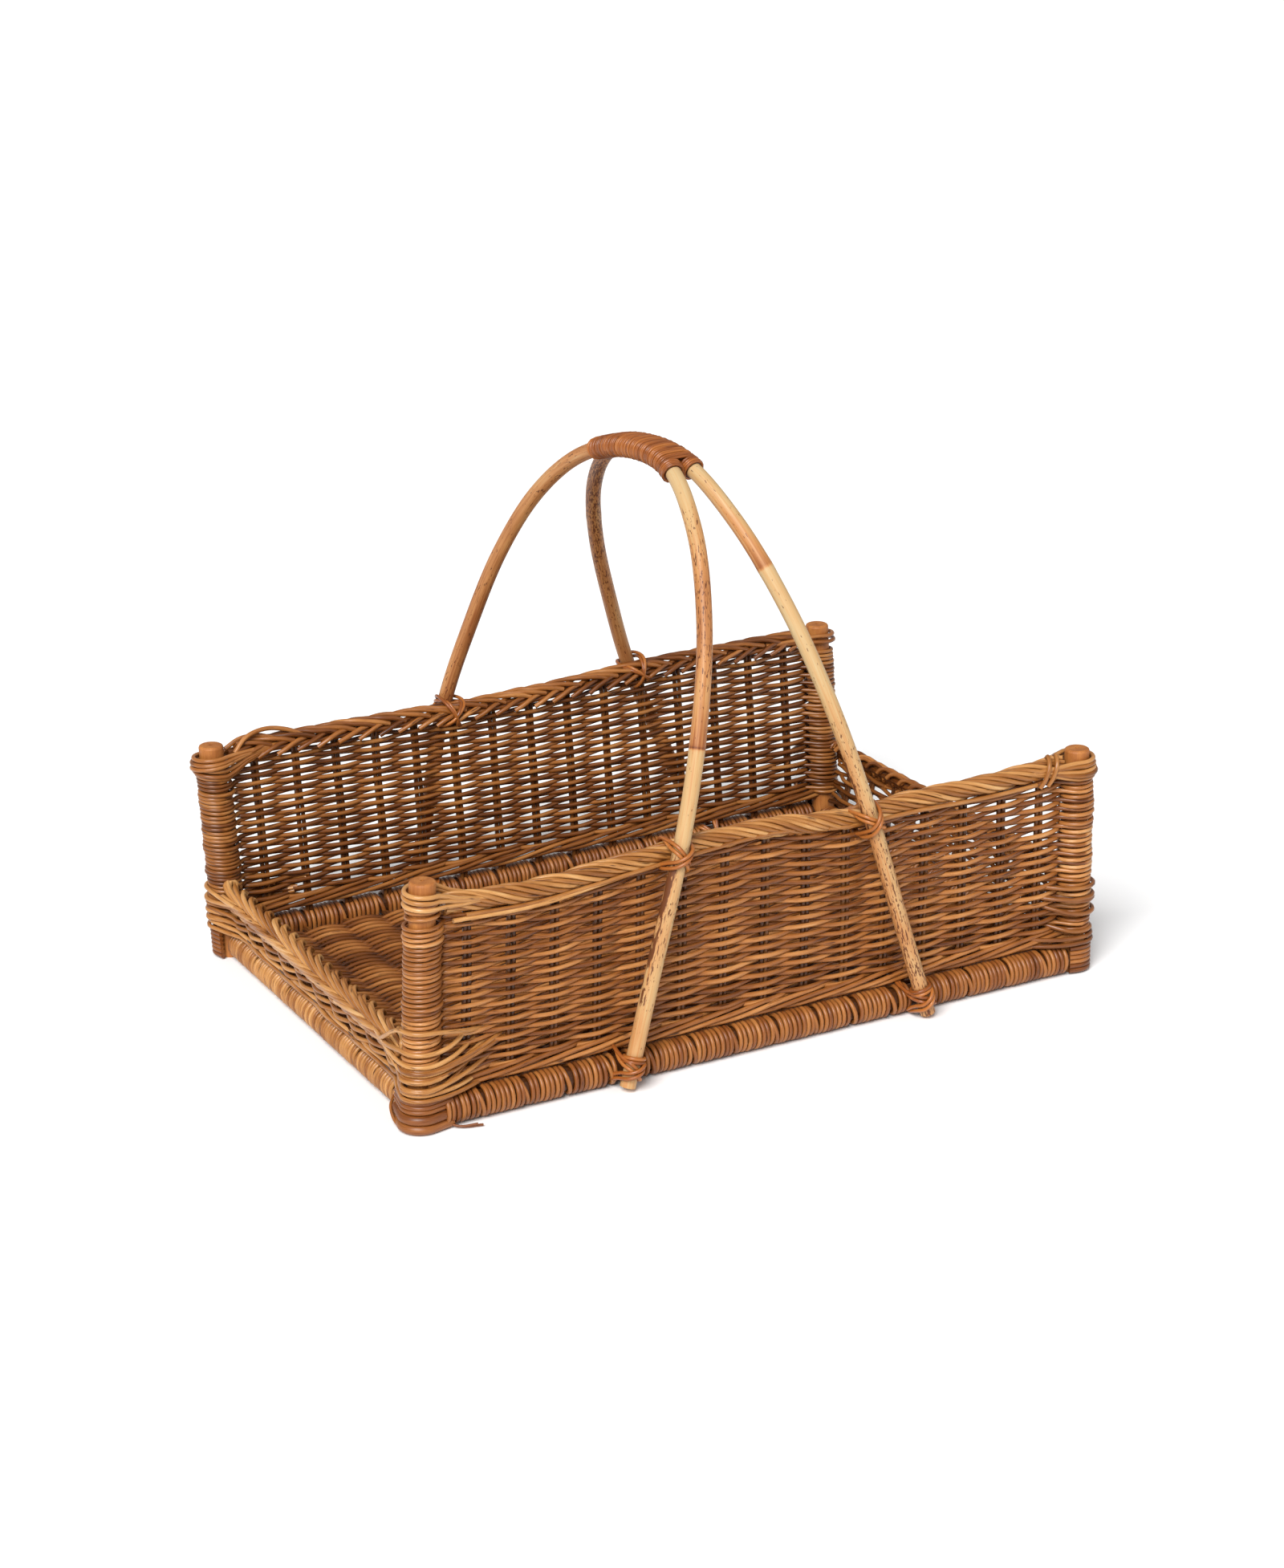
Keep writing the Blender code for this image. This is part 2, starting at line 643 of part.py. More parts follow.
def long_wall_outline(side_y):
    """Outline of a long wall, notched under the border where the handle is lashed."""
    notches = []
    for side_x in (LEFT, RIGHT):
        height = border_crossing(side_x, side_y)
        middle = leg_at(side_x, side_y, height)[0]
        room = lashing_room(side_x, side_y, BORDER_RING)
        notches.append((middle - room, middle + room))

    def top(x):
        return border_height(side_y, x) - BORDER_RADIUS - GAP

    outline = []
    for x in border_stations(side_y):
        if not any(low <= x <= high for low, high in notches):
            outline.append((x, top(x)))
    for low, high in notches:
        floor = min(top(low), top(high)) - NOTCH_DEPTH
        outline += [(low, top(low)), (low + GAP, floor), (high - GAP, floor), (high, top(high))]
    outline.sort()
    step = WRAP_SHOULDER + SHOULDER_CLEARANCE
    slope = WRAP_RADIUS - WRAP_TOP_RADIUS
    for side_x in (LEFT, RIGHT):
        corner = (side_x, side_y)
        side = [
            (corner_face(corner, WRAP_RADIUS, z, z), z) for z in (LONG_PANEL_FOOT, step - slope)
        ]
        side.append((corner_face(corner, WRAP_TOP_RADIUS, step, step), step))
        outline = side + outline if side_x == LEFT else outline + side[::-1]
    return outline


for side_y in (FRONT, BACK):
    where = Y_NAMES[side_y]
    wall_y = side_y * POST_Y
    waling_z = WALL_FOOT + LONG_WALING_RADIUS
    left = corner_face((LEFT, side_y), WRAP_RADIUS, WALL_FOOT, LONG_PANEL_FOOT)
    right = corner_face((RIGHT, side_y), WRAP_RADIUS, WALL_FOOT, LONG_PANEL_FOOT)
    waling = [(left, wall_y, waling_z), (right, wall_y, waling_z)]
    stakes = as_mesh(tube("stakes_" + where, waling, LONG_WALING_RADIUS, WEAVE_COLOUR))
    cover = BORDER_RADIUS + NOTCH_DEPTH + STAKE_TOP_COVER
    places = stake_places(LONG_WALL_STAKES, LONG_STAKE_PITCH)
    tops = [border_height(side_y, x) - cover for x in places]

    rods = [upright_stake(x, wall_y, waling_z, top, 0) for x, top in zip(places, tops)]
    combine_boxes(stakes, rods, "UNION")
    name = "weave_" + where
    blank = flat_outline(name, long_wall_outline(side_y), LONG_WALL_THICKNESS + 2 * BLANK_MARGIN)
    place = Matrix.Translation((0, wall_y, 0))
    panel = as_mesh(add_part(name, blank, WEAVE_COLOUR, place @ UPRIGHT))
    sheet = swollen_sheet(
        name, LONG_WALL_STAKES, LONG_STAKE_PITCH, LONG_WALL_THICKNESS, LONG_WALL_WAIST,
        2 * max(POST_HEIGHTS.values()),
    )
    cut_to_sheet(panel, sheet, place)
    slots = [upright_stake(x, wall_y, 0, top, GAP) for x, top in zip(places, tops)]
    slits = wall_slits(wall_y, LONG_PANEL_FOOT, min(tops))
    combine_boxes(panel, slots + slits, "DIFFERENCE")


# Low end walls, which lean outwards from their rail and carry a flat plait

END_WALING_RADIUS = END_WALING_DIAMETER / 2

for side_x in (LEFT, RIGHT):
    where = X_NAMES[side_x]
    middle, half, turn = end_line(side_x)
    lean = Matrix.Rotation(side_x * END_WALL_LEAN, 4, "Y")
    place = Matrix.Translation((middle, 0, RAIL_RADIUS)) @ Matrix.Rotation(turn, 4, "Z") @ lean
    reach = half - WRAP_RADIUS - GAP
    waling_z = RAIL_RADIUS + GAP + END_WALING_RADIUS
    panel_foot = waling_z + END_WALING_RADIUS + GAP
    plait_z = (PLAIT_HEIGHTS[side_x] - RAIL_RADIUS) / math.cos(END_WALL_LEAN)
    panel_top = plait_z - PLAIT_THICKNESS / 2 - GAP
    stake_top = panel_top - STAKE_TOP_COVER
    places = stake_places(END_WALL_STAKES, END_STAKE_PITCH)

    waling = [(0, -reach, waling_z), (0, reach, waling_z)]
    stakes = as_mesh(tube("stakes_" + where, waling, END_WALING_RADIUS, WEAVE_COLOUR, place))
    rods = [end_stake(y, waling_z, stake_top, 0) for y in places]
    combine_boxes(stakes, rods, "UNION", place)
    blank_half = END_WALL_THICKNESS / 2 + BLANK_MARGIN
    blank = (-blank_half, -reach, panel_foot), (blank_half, reach, panel_top)
    name = "weave_" + where
    panel = add_part(name, boxes_mesh(name, [blank]), WEAVE_COLOUR, place)
    sheet = swollen_sheet(
        name, END_WALL_STAKES, END_STAKE_PITCH, END_WALL_THICKNESS, END_WALL_WAIST,
        2 * plait_z,
    )
    cut_to_sheet(panel, sheet, place @ SIDEWAYS)
    slots = [end_stake(y, 0, stake_top, GAP) for y in places]
    combine_boxes(panel, slots, "DIFFERENCE", place)
    angles = [math.tau * i / PLAIT_SIDES for i in range(PLAIT_SIDES)]
    oval = [(PLAIT_WIDTH / 2 * math.cos(a), PLAIT_THICKNESS / 2 * math.sin(a)) for a in angles]
    name = "border_" + where
    plait_place = place @ Matrix.Translation((0, 0, plait_z)) @ UPRIGHT
    add_part(name, flat_outline(name, oval, 2 * reach), BORDER_COLOUR, plait_place)


# Floor: stakes from front to back, held in a waling row along each long edge

FLOOR_WALING_RADIUS = FLOOR_WALING_DIAMETER / 2
FLOOR_WALING_Y = LONG_RAIL_Y - RAIL_RADIUS - GAP - FLOOR_WALING_RADIUS
FLOOR_END_Y = FLOOR_WALING_Y - FLOOR_WALING_RADIUS - GAP


def floor_end(side_x, y, margin):
    """X where the floor ends beside an end rail."""
    turn = end_line(side_x)[2]
    return end_rail_x(side_x, y) - side_x * ((RAIL_RADIUS + GAP) / math.cos(turn) + margin)


def floor_waling(name, side_y):
    """A floor row along one long edge, kept off the slanting end rails."""
    y = side_y * FLOOR_WALING_Y
    margin = FLOOR_WALING_RADIUS * max(abs(math.tan(end_line(x)[2])) for x in (LEFT, RIGHT))
    line = [(floor_end(side_x, y, margin), y, FLOOR_CENTRE_HEIGHT) for side_x in (LEFT, RIGHT)]
    return as_mesh(tube(name, line, FLOOR_WALING_RADIUS, WEAVE_COLOUR))


def floor_stake(x, reach, clearance):
    """Box of one stake of the floor, or of its slot."""
    wide, thick = HALF_STAKE_WIDTH + clearance, HALF_STAKE_THICKNESS + clearance
    low, high = FLOOR_CENTRE_HEIGHT - thick, FLOOR_CENTRE_HEIGHT + thick
    return (x - wide, -reach, low), (x + wide, reach, high)


places = stake_places(LONG_WALL_STAKES, LONG_STAKE_PITCH)
ladder = floor_waling("floor_stakes", FRONT)
rungs = [floor_stake(x, FLOOR_WALING_Y, 0) for x in places]
combine_boxes(ladder, rungs, "UNION")
combine(ladder, floor_waling("floor_row", BACK), "UNION")

outline = [
    (floor_end(side_x, side_y * FLOOR_END_Y, 0), side_y * FLOOR_END_Y)
    for side_x, side_y in ((LEFT, FRONT), (RIGHT, FRONT), (RIGHT, BACK), (LEFT, BACK))
]
blank = flat_outline("floor_weave", outline, FLOOR_THICKNESS + 2 * BLANK_MARGIN)
place = Matrix.Translation((0, 0, FLOOR_CENTRE_HEIGHT))
floor = as_mesh(add_part("floor_weave", blank, WEAVE_COLOUR, place))
sheet = swollen_sheet(
    "floor_weave", LONG_WALL_STAKES, LONG_STAKE_PITCH, FLOOR_THICKNESS, FLOOR_WAIST,
    2 * LONG_RAIL_Y,
)
cut_to_sheet(floor, sheet, place @ UPRIGHT)
slots = [floor_stake(x, LONG_RAIL_Y, GAP) for x in places]
combine_boxes(floor, slots, "DIFFERENCE")


# Windings: each is one unbroken tube, and its least gap to itself is measured

def least_gap(points, diameter):
    """Least clear distance between stretches of a tube that aren't neighbours along it."""
    points = np.array([tuple(p) for p in points])
    lengths = np.linalg.norm(np.diff(points, axis=0), axis=1)
    along = np.concatenate([[0], np.cumsum(lengths)])
    fine = np.arange(0, along[-1], diameter / 5)
    spots = np.stack([np.interp(fine, along, points[:, i]) for i in range(3)], axis=1)
    apart = np.linalg.norm(spots[:, None, :] - spots[None, :, :], axis=2)
    near = np.abs(fine[:, None] - fine[None, :]) < 4 * diameter
    apart[near] = 1.0
    return apart.min() - diameter


def wind(name, points, diameter, colour):
    """One winding as a tube, with its least gap to itself printed."""
    gap = least_gap(points, diameter)
    print(f"{name}: least gap to itself {gap * 1000:.2f} mm")
    if gap < LEAST_SELF_GAP:
        print(f"{name} comes too close to itself")
    tube(name, points, diameter / 2, colour, resolution=1)


def grip_points():
    """Loops round both rods, advancing along the top of the arch."""
    strand = GRIP_STRAND_DIAMETER / 2
    arc_step = math.pi / (GRIP_ARC_POINTS - 1)
    ring = (ROD_RADIUS + GAP + strand) / math.cos(arc_step / 2)
    middle_line = np.array([
        ((hoop_x(LEFT, y, z) + hoop_x(RIGHT, y, z)) / 2, y, z) for y, z in ARCH_FINE
    ])
    half_line = np.array([
        (hoop_x(RIGHT, y, z) - hoop_x(LEFT, y, z)) / 2 for y, z in ARCH_FINE
    ])
    steps = np.linalg.norm(np.diff(middle_line, axis=0), axis=1)
    along = np.concatenate([[0], np.cumsum(steps)])
    upper = along[np.argmin(np.abs(ARCH_FINE[:, 0] - GRIP_CENTRE_Y))]
    start = upper - GRIP_LENGTH / 2 + strand
    run = GRIP_LENGTH - GRIP_STRAND_DIAMETER

    def at(share):
        s = start + run * share
        centre = Vector([np.interp(s, along, middle_line[:, i]) for i in range(3)])
        ahead = Vector([np.interp(s + 0.001, along, middle_line[:, i]) for i in range(3)])
        half = float(np.interp(s, along, half_line))
        forward = (ahead - centre).normalized()
        across = Vector((1, 0, 0))
        across = (across - forward * across.dot(forward)).normalized()
        return centre, across, across.cross(forward).normalized(), half

    half_circle = math.pi * ring
    straight = 2 * at(0.5)[3]
    whole = 2 * half_circle + 2 * straight
    loop = []
    for i in range(GRIP_ARC_POINTS):
        turn = -math.pi / 2 + i * arc_step
        walked = straight / 2 + ring * (turn + math.pi / 2)
        loop.append((1, turn, walked / whole))
    for i in range(GRIP_ARC_POINTS):
        turn = math.pi / 2 + i * arc_step
        walked = straight * 1.5 + half_circle + ring * (turn - math.pi / 2)
        loop.append((-1, turn, walked / whole))

    def spot(side, turn, share):
        centre, across, up, half = at(share)
        out = ring * math.cos(turn) + side * half
        return centre + across * out + up * (ring * math.sin(turn))

    points = [spot(0, -math.pi / 2, 0)]
    for lap in range(GRIP_TURNS):
        points += [spot(side, turn, (lap + share) / GRIP_TURNS) for side, turn, share in loop]
    points.append(spot(0, -math.pi / 2, 1))
    return points


def lashing_points(side_x, side_y, ring, anchor_out, anchor_height, reach):
    """Two turns that cross on the face of a leg and pass round a rail or border behind it."""
    side = lashing_side(side_x, side_y)
    lift = LASHING_DIAMETER + LASHING_LAYER_GAP
    middle = anchor_height(leg_at(side_x, side_y, reach[0])[0])

    def spot(u, v, w):
        x = leg_at(side_x, side_y, middle + w)[0] + u
        return Vector((x, side_y * v, anchor_height(x) + w))

    def face(direction, raised):
        turns = [i * LASHING_ARC_STEP for i in range(LASHING_ARC_POINTS)]
        points = []
        for turn in turns:
            w = reach[1] * math.cos(turn)
            leg_out = leg_at(side_x, side_y, middle + w)[1]
            out = (side + raised * math.sin(turn) ** 2) * math.sin(turn)
            points.append(spot(-direction * side * math.cos(turn), leg_out + out, w))
        return points

    def behind(u, turns):
        return [spot(u, anchor_out - ring * math.sin(a), -ring * math.cos(a)) for a in turns]

    half_ring = [i * LASHING_ARC_STEP for i in range(LASHING_ARC_POINTS)]
    points = [spot(-side, anchor_out, ring)]
    points += face(1, 0.0) + behind(side, half_ring)
    points += face(-1, lift) + behind(-side, half_ring[: LASHING_ARC_POINTS // 2 + 1])
    points.append(spot(-side, anchor_out - ring, LASHING_DIAMETER))
    return points


wind("grip_binding", grip_points(), GRIP_STRAND_DIAMETER, LASHING_COLOUR)

for side_x in (LEFT, RIGHT):
    for side_y in (FRONT, BACK):
        leg = Y_NAMES[side_y] + "_" + X_NAMES[side_x]
        crossing = border_crossing(side_x, side_y)
        border = lashing_points(
            side_x, side_y, BORDER_RING, POST_Y,
            lambda x, side_y=side_y: border_height(side_y, x), (crossing, BORDER_RING * LASHING_REACH),
        )
        wind("lashing_border_" + leg, border, LASHING_DIAMETER, LASHING_COLOUR)
        foot = lashing_points(
            side_x, side_y, RAIL_RING, LONG_RAIL_Y,
            lambda x: RAIL_RADIUS, (RAIL_RADIUS, RAIL_RING * LASHING_REACH),
        )
        wind("lashing_foot_" + leg, foot, LASHING_DIAMETER, LASHING_COLOUR)
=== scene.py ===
# %% [markdown]
# # A rattan carrying basket
# Four corner posts stand on a frame of rods. Round cane is woven between the posts to make two
# long walls, two low end walls and a floor, and two bent rods make the handle. The CAD model has
# every size already, with one plain solid for each woven part. Here each plain solid is replaced
# by the strands of cane that the real one is made of.

# %% Load the CAD model, which fixes every place
import math

import bmesh
import bpy
import numpy as np
from mathutils import Matrix, Vector


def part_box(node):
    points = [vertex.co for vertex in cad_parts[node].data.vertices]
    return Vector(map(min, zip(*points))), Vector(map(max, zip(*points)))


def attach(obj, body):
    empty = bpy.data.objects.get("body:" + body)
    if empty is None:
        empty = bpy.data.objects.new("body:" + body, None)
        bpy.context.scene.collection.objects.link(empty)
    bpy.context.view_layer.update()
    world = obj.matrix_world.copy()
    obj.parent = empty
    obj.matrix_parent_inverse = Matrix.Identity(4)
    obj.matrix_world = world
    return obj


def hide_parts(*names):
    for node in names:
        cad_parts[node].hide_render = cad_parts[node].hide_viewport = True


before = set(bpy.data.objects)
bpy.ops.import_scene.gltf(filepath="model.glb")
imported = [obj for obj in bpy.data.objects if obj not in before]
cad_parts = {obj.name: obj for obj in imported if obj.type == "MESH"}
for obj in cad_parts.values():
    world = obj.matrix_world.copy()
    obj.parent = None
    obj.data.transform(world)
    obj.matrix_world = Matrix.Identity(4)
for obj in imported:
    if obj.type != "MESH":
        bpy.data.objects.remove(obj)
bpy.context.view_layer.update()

# %% [markdown]
# ## The places of the frame
# The strands have to meet the posts, rails and borders, so the lines that the CAD model was built
# on are written again here, in metres. The base is hand-made and leans a little: each post's foot
# stands a few millimetres outside or inside its top.

# %% The corner posts
FRONT, BACK, LEFT, RIGHT = -1, 1, -1, 1
Y_NAMES = {FRONT: "front", BACK: "back"}
X_NAMES = {LEFT: "left", RIGHT: "right"}
CORNERS = [(side_x, side_y) for side_x in (LEFT, RIGHT) for side_y in (FRONT, BACK)]
POST_X = 0.275
POST_Y = 0.183
POST_RADIUS = 0.0095
POST_HEIGHTS = {
    (LEFT, FRONT): 0.183, (RIGHT, FRONT): 0.179, (LEFT, BACK): 0.174, (RIGHT, BACK): 0.182,
}
FOOT_SPLAYS = {
    (LEFT, FRONT): 0.008, (RIGHT, FRONT): 0.0, (LEFT, BACK): -0.008, (RIGHT, BACK): 0.008,
}
RAIL_RADIUS = 0.012
LONG_RAIL_Y = 0.187
WALL_FOOT = 0.0243


def post_x(corner, z):
    """X of a post's centre line at a height."""
    return corner[0] * (POST_X + FOOT_SPLAYS[corner] * (1 - z / POST_HEIGHTS[corner]))


def corner_name(corner):
    return Y_NAMES[corner[1]] + "_" + X_NAMES[corner[0]]


# %% Smooth paths, and points along them
def path_of(x, y, z):
    """Points from their x, y and z, of which some can be one number for all."""
    return np.stack(np.broadcast_arrays(x, y, z), axis=1)


def lengths_along(line):
    """How far along a line each of its points lies."""
    return np.concatenate([[0], np.cumsum(np.linalg.norm(np.diff(line, axis=0), axis=1))])


def sampled(line, along, places):
    """Points of a line at places along it."""
    return np.stack([np.interp(places, along, values) for values in line.T], axis=1)


def smooth(knots, steps):
    """A curve through knots whose bends are shared out by the lengths of their neighbours."""
    knots = np.asarray(knots, float)
    spans = np.linalg.norm(np.diff(knots, axis=0), axis=1)
    slopes = np.diff(knots, axis=0) / spans[:, None]
    tangents = np.empty_like(knots)
    tangents[0], tangents[-1] = slopes[0], slopes[-1]
    weights = (spans[:-1] / (spans[:-1] + spans[1:]))[:, None]
    tangents[1:-1] = slopes[:-1] * (1 - weights) + slopes[1:] * weights
    path = [knots[:1]]
    t = (np.arange(1, steps + 1) / steps)[:, None]
    for i, span in enumerate(spans):
        path.append(
            (2 * t**3 - 3 * t**2 + 1) * knots[i] + (t**3 - 2 * t**2 + t) * span * tangents[i]
            + (3 * t**2 - 2 * t**3) * knots[i + 1] + (t**3 - t**2) * span * tangents[i + 1]
        )
    return np.concatenate(path)


def looped(knots, steps):
    """A closed smooth curve through knots, without its last point, which is the first again."""
    knots = np.asarray(knots, float)
    path = smooth(np.concatenate([knots[-3:], knots, knots[:4]]), steps)
    return path[3 * steps : (3 + len(knots)) * steps]


def respaced(path, spacing):
    """The same path with its points at an even distance."""
    along = lengths_along(path)
    places = np.linspace(0, along[-1], max(2, round(along[-1] / spacing) + 1))
    return sampled(path, along, places)


# %% The borders' heights and the end rails' lines
BORDER_RADIUS = 0.0075
BORDER_HEIGHTS = {
    FRONT: (0.1625, 0.159, 0.163, 0.167, 0.168, 0.162, 0.165, 0.1655, 0.1685),
    BACK: (0.166, 0.166, 0.1655, 0.1645, 0.1655, 0.1685, 0.1715, 0.1715, 0.172),
}
PLAIT_HEIGHTS = {LEFT: 0.056, RIGHT: 0.069}
END_RAIL_INSET = 0.004
END_WALL_LEAN = math.radians(14)


def border_line(side_y):
    """X and height of a long border's centre line."""
    low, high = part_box("border_" + Y_NAMES[side_y])
    heights = BORDER_HEIGHTS[side_y]
    stations = np.linspace(low[0] + BORDER_RADIUS, high[0] - BORDER_RADIUS, len(heights))
    return smooth(list(zip(stations, heights)), 12)


BORDER_LINES = {side_y: border_line(side_y) for side_y in (FRONT, BACK)}


def border_height(side_y, x):
    return np.interp(x, *BORDER_LINES[side_y].T)


def end_line(side_x):
    """Middle of an end rail, half the distance between its posts, and its turn in plan."""
    front = np.array([post_x((side_x, FRONT), RAIL_RADIUS), -POST_Y])
    back = np.array([post_x((side_x, BACK), RAIL_RADIUS), POST_Y])
    middle = (front[0] + back[0]) / 2 - side_x * END_RAIL_INSET
    turn = math.atan2(front[0] - back[0], back[1] - front[1])
    return middle, np.linalg.norm(back - front) / 2, turn


def end_rail_x(side_x, y):
    middle, _, turn = end_line(side_x)
    return middle - y * math.tan(turn)


# %% The handle's two hoops
HANDLE_TOP = 0.4147
HANDLE_CROSSING = 0.168
ROD_RADIUS = 0.006
ROD_FOOT_HEIGHT = 0.00348
LEG_FOOT_Y = 0.2053
LEG_CROSSING_Y = 0.1971
ARCH_SHAPE = (
    (-0.931, 0.329), (-0.799, 0.620), (-0.601, 0.847), (-0.353, 0.986), (-0.051, 1.000),
    (0.261, 0.922), (0.530, 0.761), (0.736, 0.539), (0.884, 0.279),
)
SPLAYS = {
    (LEFT, FRONT): math.tan(math.radians(16.9)), (LEFT, BACK): math.tan(math.radians(10.3)),
    (RIGHT, FRONT): math.tan(math.radians(16.1)), (RIGHT, BACK): math.tan(math.radians(24.4)),
}
HANDLE_CENTRE_X = -0.0074
HANDLE_SKEW = math.tan(math.radians(-2.6))
SPLAY_BLEND = 0.040


def arch_line():
    """Y and Z of both hoops, from the front foot to the back foot."""
    foot = (LEG_FOOT_Y, ROD_FOOT_HEIGHT)
    middle = ((LEG_FOOT_Y + LEG_CROSSING_Y) / 2, HANDLE_CROSSING / 2)
    crossing = (LEG_CROSSING_Y, HANDLE_CROSSING)
    rise = HANDLE_TOP - HANDLE_CROSSING
    knots = [(-y, z) for y, z in (foot, middle, crossing)]
    knots += [(y * LEG_CROSSING_Y, HANDLE_CROSSING + z * rise) for y, z in ARCH_SHAPE]
    return smooth([*knots, crossing, middle, foot], 40)


ARCH = arch_line()
ARCH_PEAK = ARCH[:, 1].max()


def hoop_x(side_x, y, z):
    """X of a hoop's centre line at a point of the arch."""
    share = 0.5 - 0.5 * np.tanh(y / SPLAY_BLEND)
    splay = SPLAYS[side_x, FRONT] * share + SPLAYS[side_x, BACK] * (1 - share)
    apart = ROD_RADIUS + 0.0002 + splay * (ARCH_PEAK - z)
    return HANDLE_CENTRE_X + HANDLE_SKEW * y + side_x * apart


def hoop_line(side_x):
    """A hoop's centre line, from its front foot to its back foot."""
    return path_of(hoop_x(side_x, *ARCH.T), *ARCH.T)


def leg_at(side_x, side_y, z):
    """A leg's centre line at a height below the arch."""
    half = ARCH[: len(ARCH) // 2]
    y = side_y * np.interp(z, half[:, 1], -half[:, 0])
    return np.array([hoop_x(side_x, y, z), y, z])


# %% [markdown]
# ## One way to add nodes
# Node trees are built by this script, both for Geometry Nodes and for materials. One method adds
# any node, and a small class wraps a node's output, so that sums on outputs read like sums.

# %% Nodes from Python
class Value:
    """An output of a node. Python's signs on it add Math nodes."""

    def __init__(self, graph, socket):
        self.graph = graph
        self.socket = socket

    def maths(self, operation, *others):
        values = dict(enumerate((self, *others)))
        return self.graph.add("ShaderNodeMath", {"operation": operation}, values)

    def __add__(self, other):
        return self.maths("ADD", other)

    def __mul__(self, other):
        return self.maths("MULTIPLY", other)

    def __sub__(self, other):
        return self.maths("SUBTRACT", other)

    def __truediv__(self, other):
        return self.maths("DIVIDE", other)

    __radd__ = __add__
    __rmul__ = __mul__


class Graph:
    """A node tree that nodes are added to."""

    def __init__(self, tree):
        self.tree = tree

    def add(self, kind, settings=(), values=(), output=0):
        """Adds a node with its settings and its sockets' values or links; gives one output."""
        node = self.tree.nodes.new(kind)
        settings = dict(settings)
        for place, colour in settings.pop("stops", ()):
            stops = node.color_ramp.elements
            stop = stops[0] if place == 0 else stops[-1] if place == 1 else stops.new(place)
            stop.color = (*colour, 1.0)
        for key, setting in settings.items():
            setattr(node, key, setting)
        for key, value in dict(values).items():
            if isinstance(value, Value):
                self.tree.links.new(value.socket, node.inputs[key])
            else:
                node.inputs[key].default_value = value
        return Value(self, node.outputs[output]) if len(node.outputs) else None


# %% Geometry trees with named inputs
def geometry_tree(name, inputs):
    """A new Geometry Nodes tree, its graph and its inputs as values."""
    tree = bpy.data.node_groups.new(name, "GeometryNodeTree")
    tree.interface.new_socket("Geometry", in_out="INPUT", socket_type="NodeSocketGeometry")
    tree.interface.new_socket("Geometry", in_out="OUTPUT", socket_type="NodeSocketGeometry")
    for label, (kind, value) in inputs.items():
        socket = tree.interface.new_socket(label, in_out="INPUT", socket_type="NodeSocket" + kind)
        if value is not None:
            socket.default_value = value
    graph = Graph(tree)
    entry = tree.nodes.new("NodeGroupInput")
    given = {socket.name: Value(graph, socket) for socket in entry.outputs if socket.name}
    return graph, given


def end_tree(graph, shape, material):
    """Realizes, shades smooth, gives the material and ends the tree."""
    shape = graph.add("GeometryNodeRealizeInstances", {}, {"Geometry": shape})
    shape = graph.add("GeometryNodeSetShadeSmooth", {}, {"Geometry": shape})
    shape = graph.add("GeometryNodeSetMaterial", {}, {"Geometry": shape, "Material": material})
    graph.add("NodeGroupOutput", {}, {"Geometry": shape})
    return graph.tree


def attribute(graph, name, kind="FLOAT"):
    return graph.add("GeometryNodeInputNamedAttribute", {"data_type": kind}, {"Name": name})


def store(graph, shape, name, value, kind="FLOAT", domain="POINT"):
    return graph.add(
        "GeometryNodeStoreNamedAttribute", {"data_type": kind, "domain": domain},
        {"Geometry": shape, "Name": name, "Value": value},
    )


def random_value(graph, low, high, seed):
    """A number between two others for each point."""
    return graph.add(
        "FunctionNodeRandomValue", {"data_type": "FLOAT"}, {2: low, 3: high, "Seed": seed}, 1,
    )


def tube(graph, line, sides, radius, caps=True):
    """A round skin along a line, which stores how far round each point lies."""
    ring = graph.add(
        "GeometryNodeCurvePrimitiveCircle", {}, {"Resolution": sides, "Radius": 1.0},
    )
    turn = graph.add("GeometryNodeSplineParameter", output="Factor")
    ring = store(graph, ring, "around", turn * math.tau)
    return graph.add("GeometryNodeCurveToMesh", {}, {
        "Curve": line, "Profile Curve": ring, "Scale": radius, "Fill Caps": caps,
    })


def store_grain(graph, skin, along, radius):
    """Stores each point's place along and across its cane, which the fibres follow."""
    around = attribute(graph, "around")
    grain = graph.add("ShaderNodeCombineXYZ", {}, {
        0: along, 1: around.maths("COSINE") * radius, 2: around.maths("SINE") * radius,
    })
    return store(graph, skin, "grain", grain, "FLOAT_VECTOR")


# %% Objects in the scene
def linked(name, data):
    """A new object in the scene."""
    thing = bpy.data.objects.new(name, data)
    bpy.context.scene.collection.objects.link(thing)
    return thing


def tell(thing, made):
    """Prints what a piece is made of."""
    thing.data.calc_loop_triangles()
    print(f"{thing.name}: {made}, {len(thing.data.loop_triangles)} triangles")


def grown(name, mesh, tree, values):
    """Runs a tree on a mesh and returns the result as a plain mesh object."""
    thing = linked(name, mesh)
    modifier = thing.modifiers.new("grow", "NODES")
    modifier.node_group = tree
    for item in tree.interface.items_tree:
        if item.in_out == "INPUT" and item.name in values:
            modifier[item.identifier] = values[item.name]
    bpy.context.view_layer.update()
    evaluated = thing.evaluated_get(bpy.context.evaluated_depsgraph_get())
    result = bpy.data.meshes.new_from_object(evaluated)
    thing.modifiers.clear()
    thing.data = result
    bpy.data.meshes.remove(mesh)
    result.name = name
    return thing


# %% [markdown]
# ## Cane along a line
# Every strand is a round rod of cane along a path. Python works out the paths, because each one
# has to meet posts, stakes and rails. A Geometry Nodes tree then turns each path to a tube, and
# stores how far along and where around each point lies, which the cane's grain follows later.

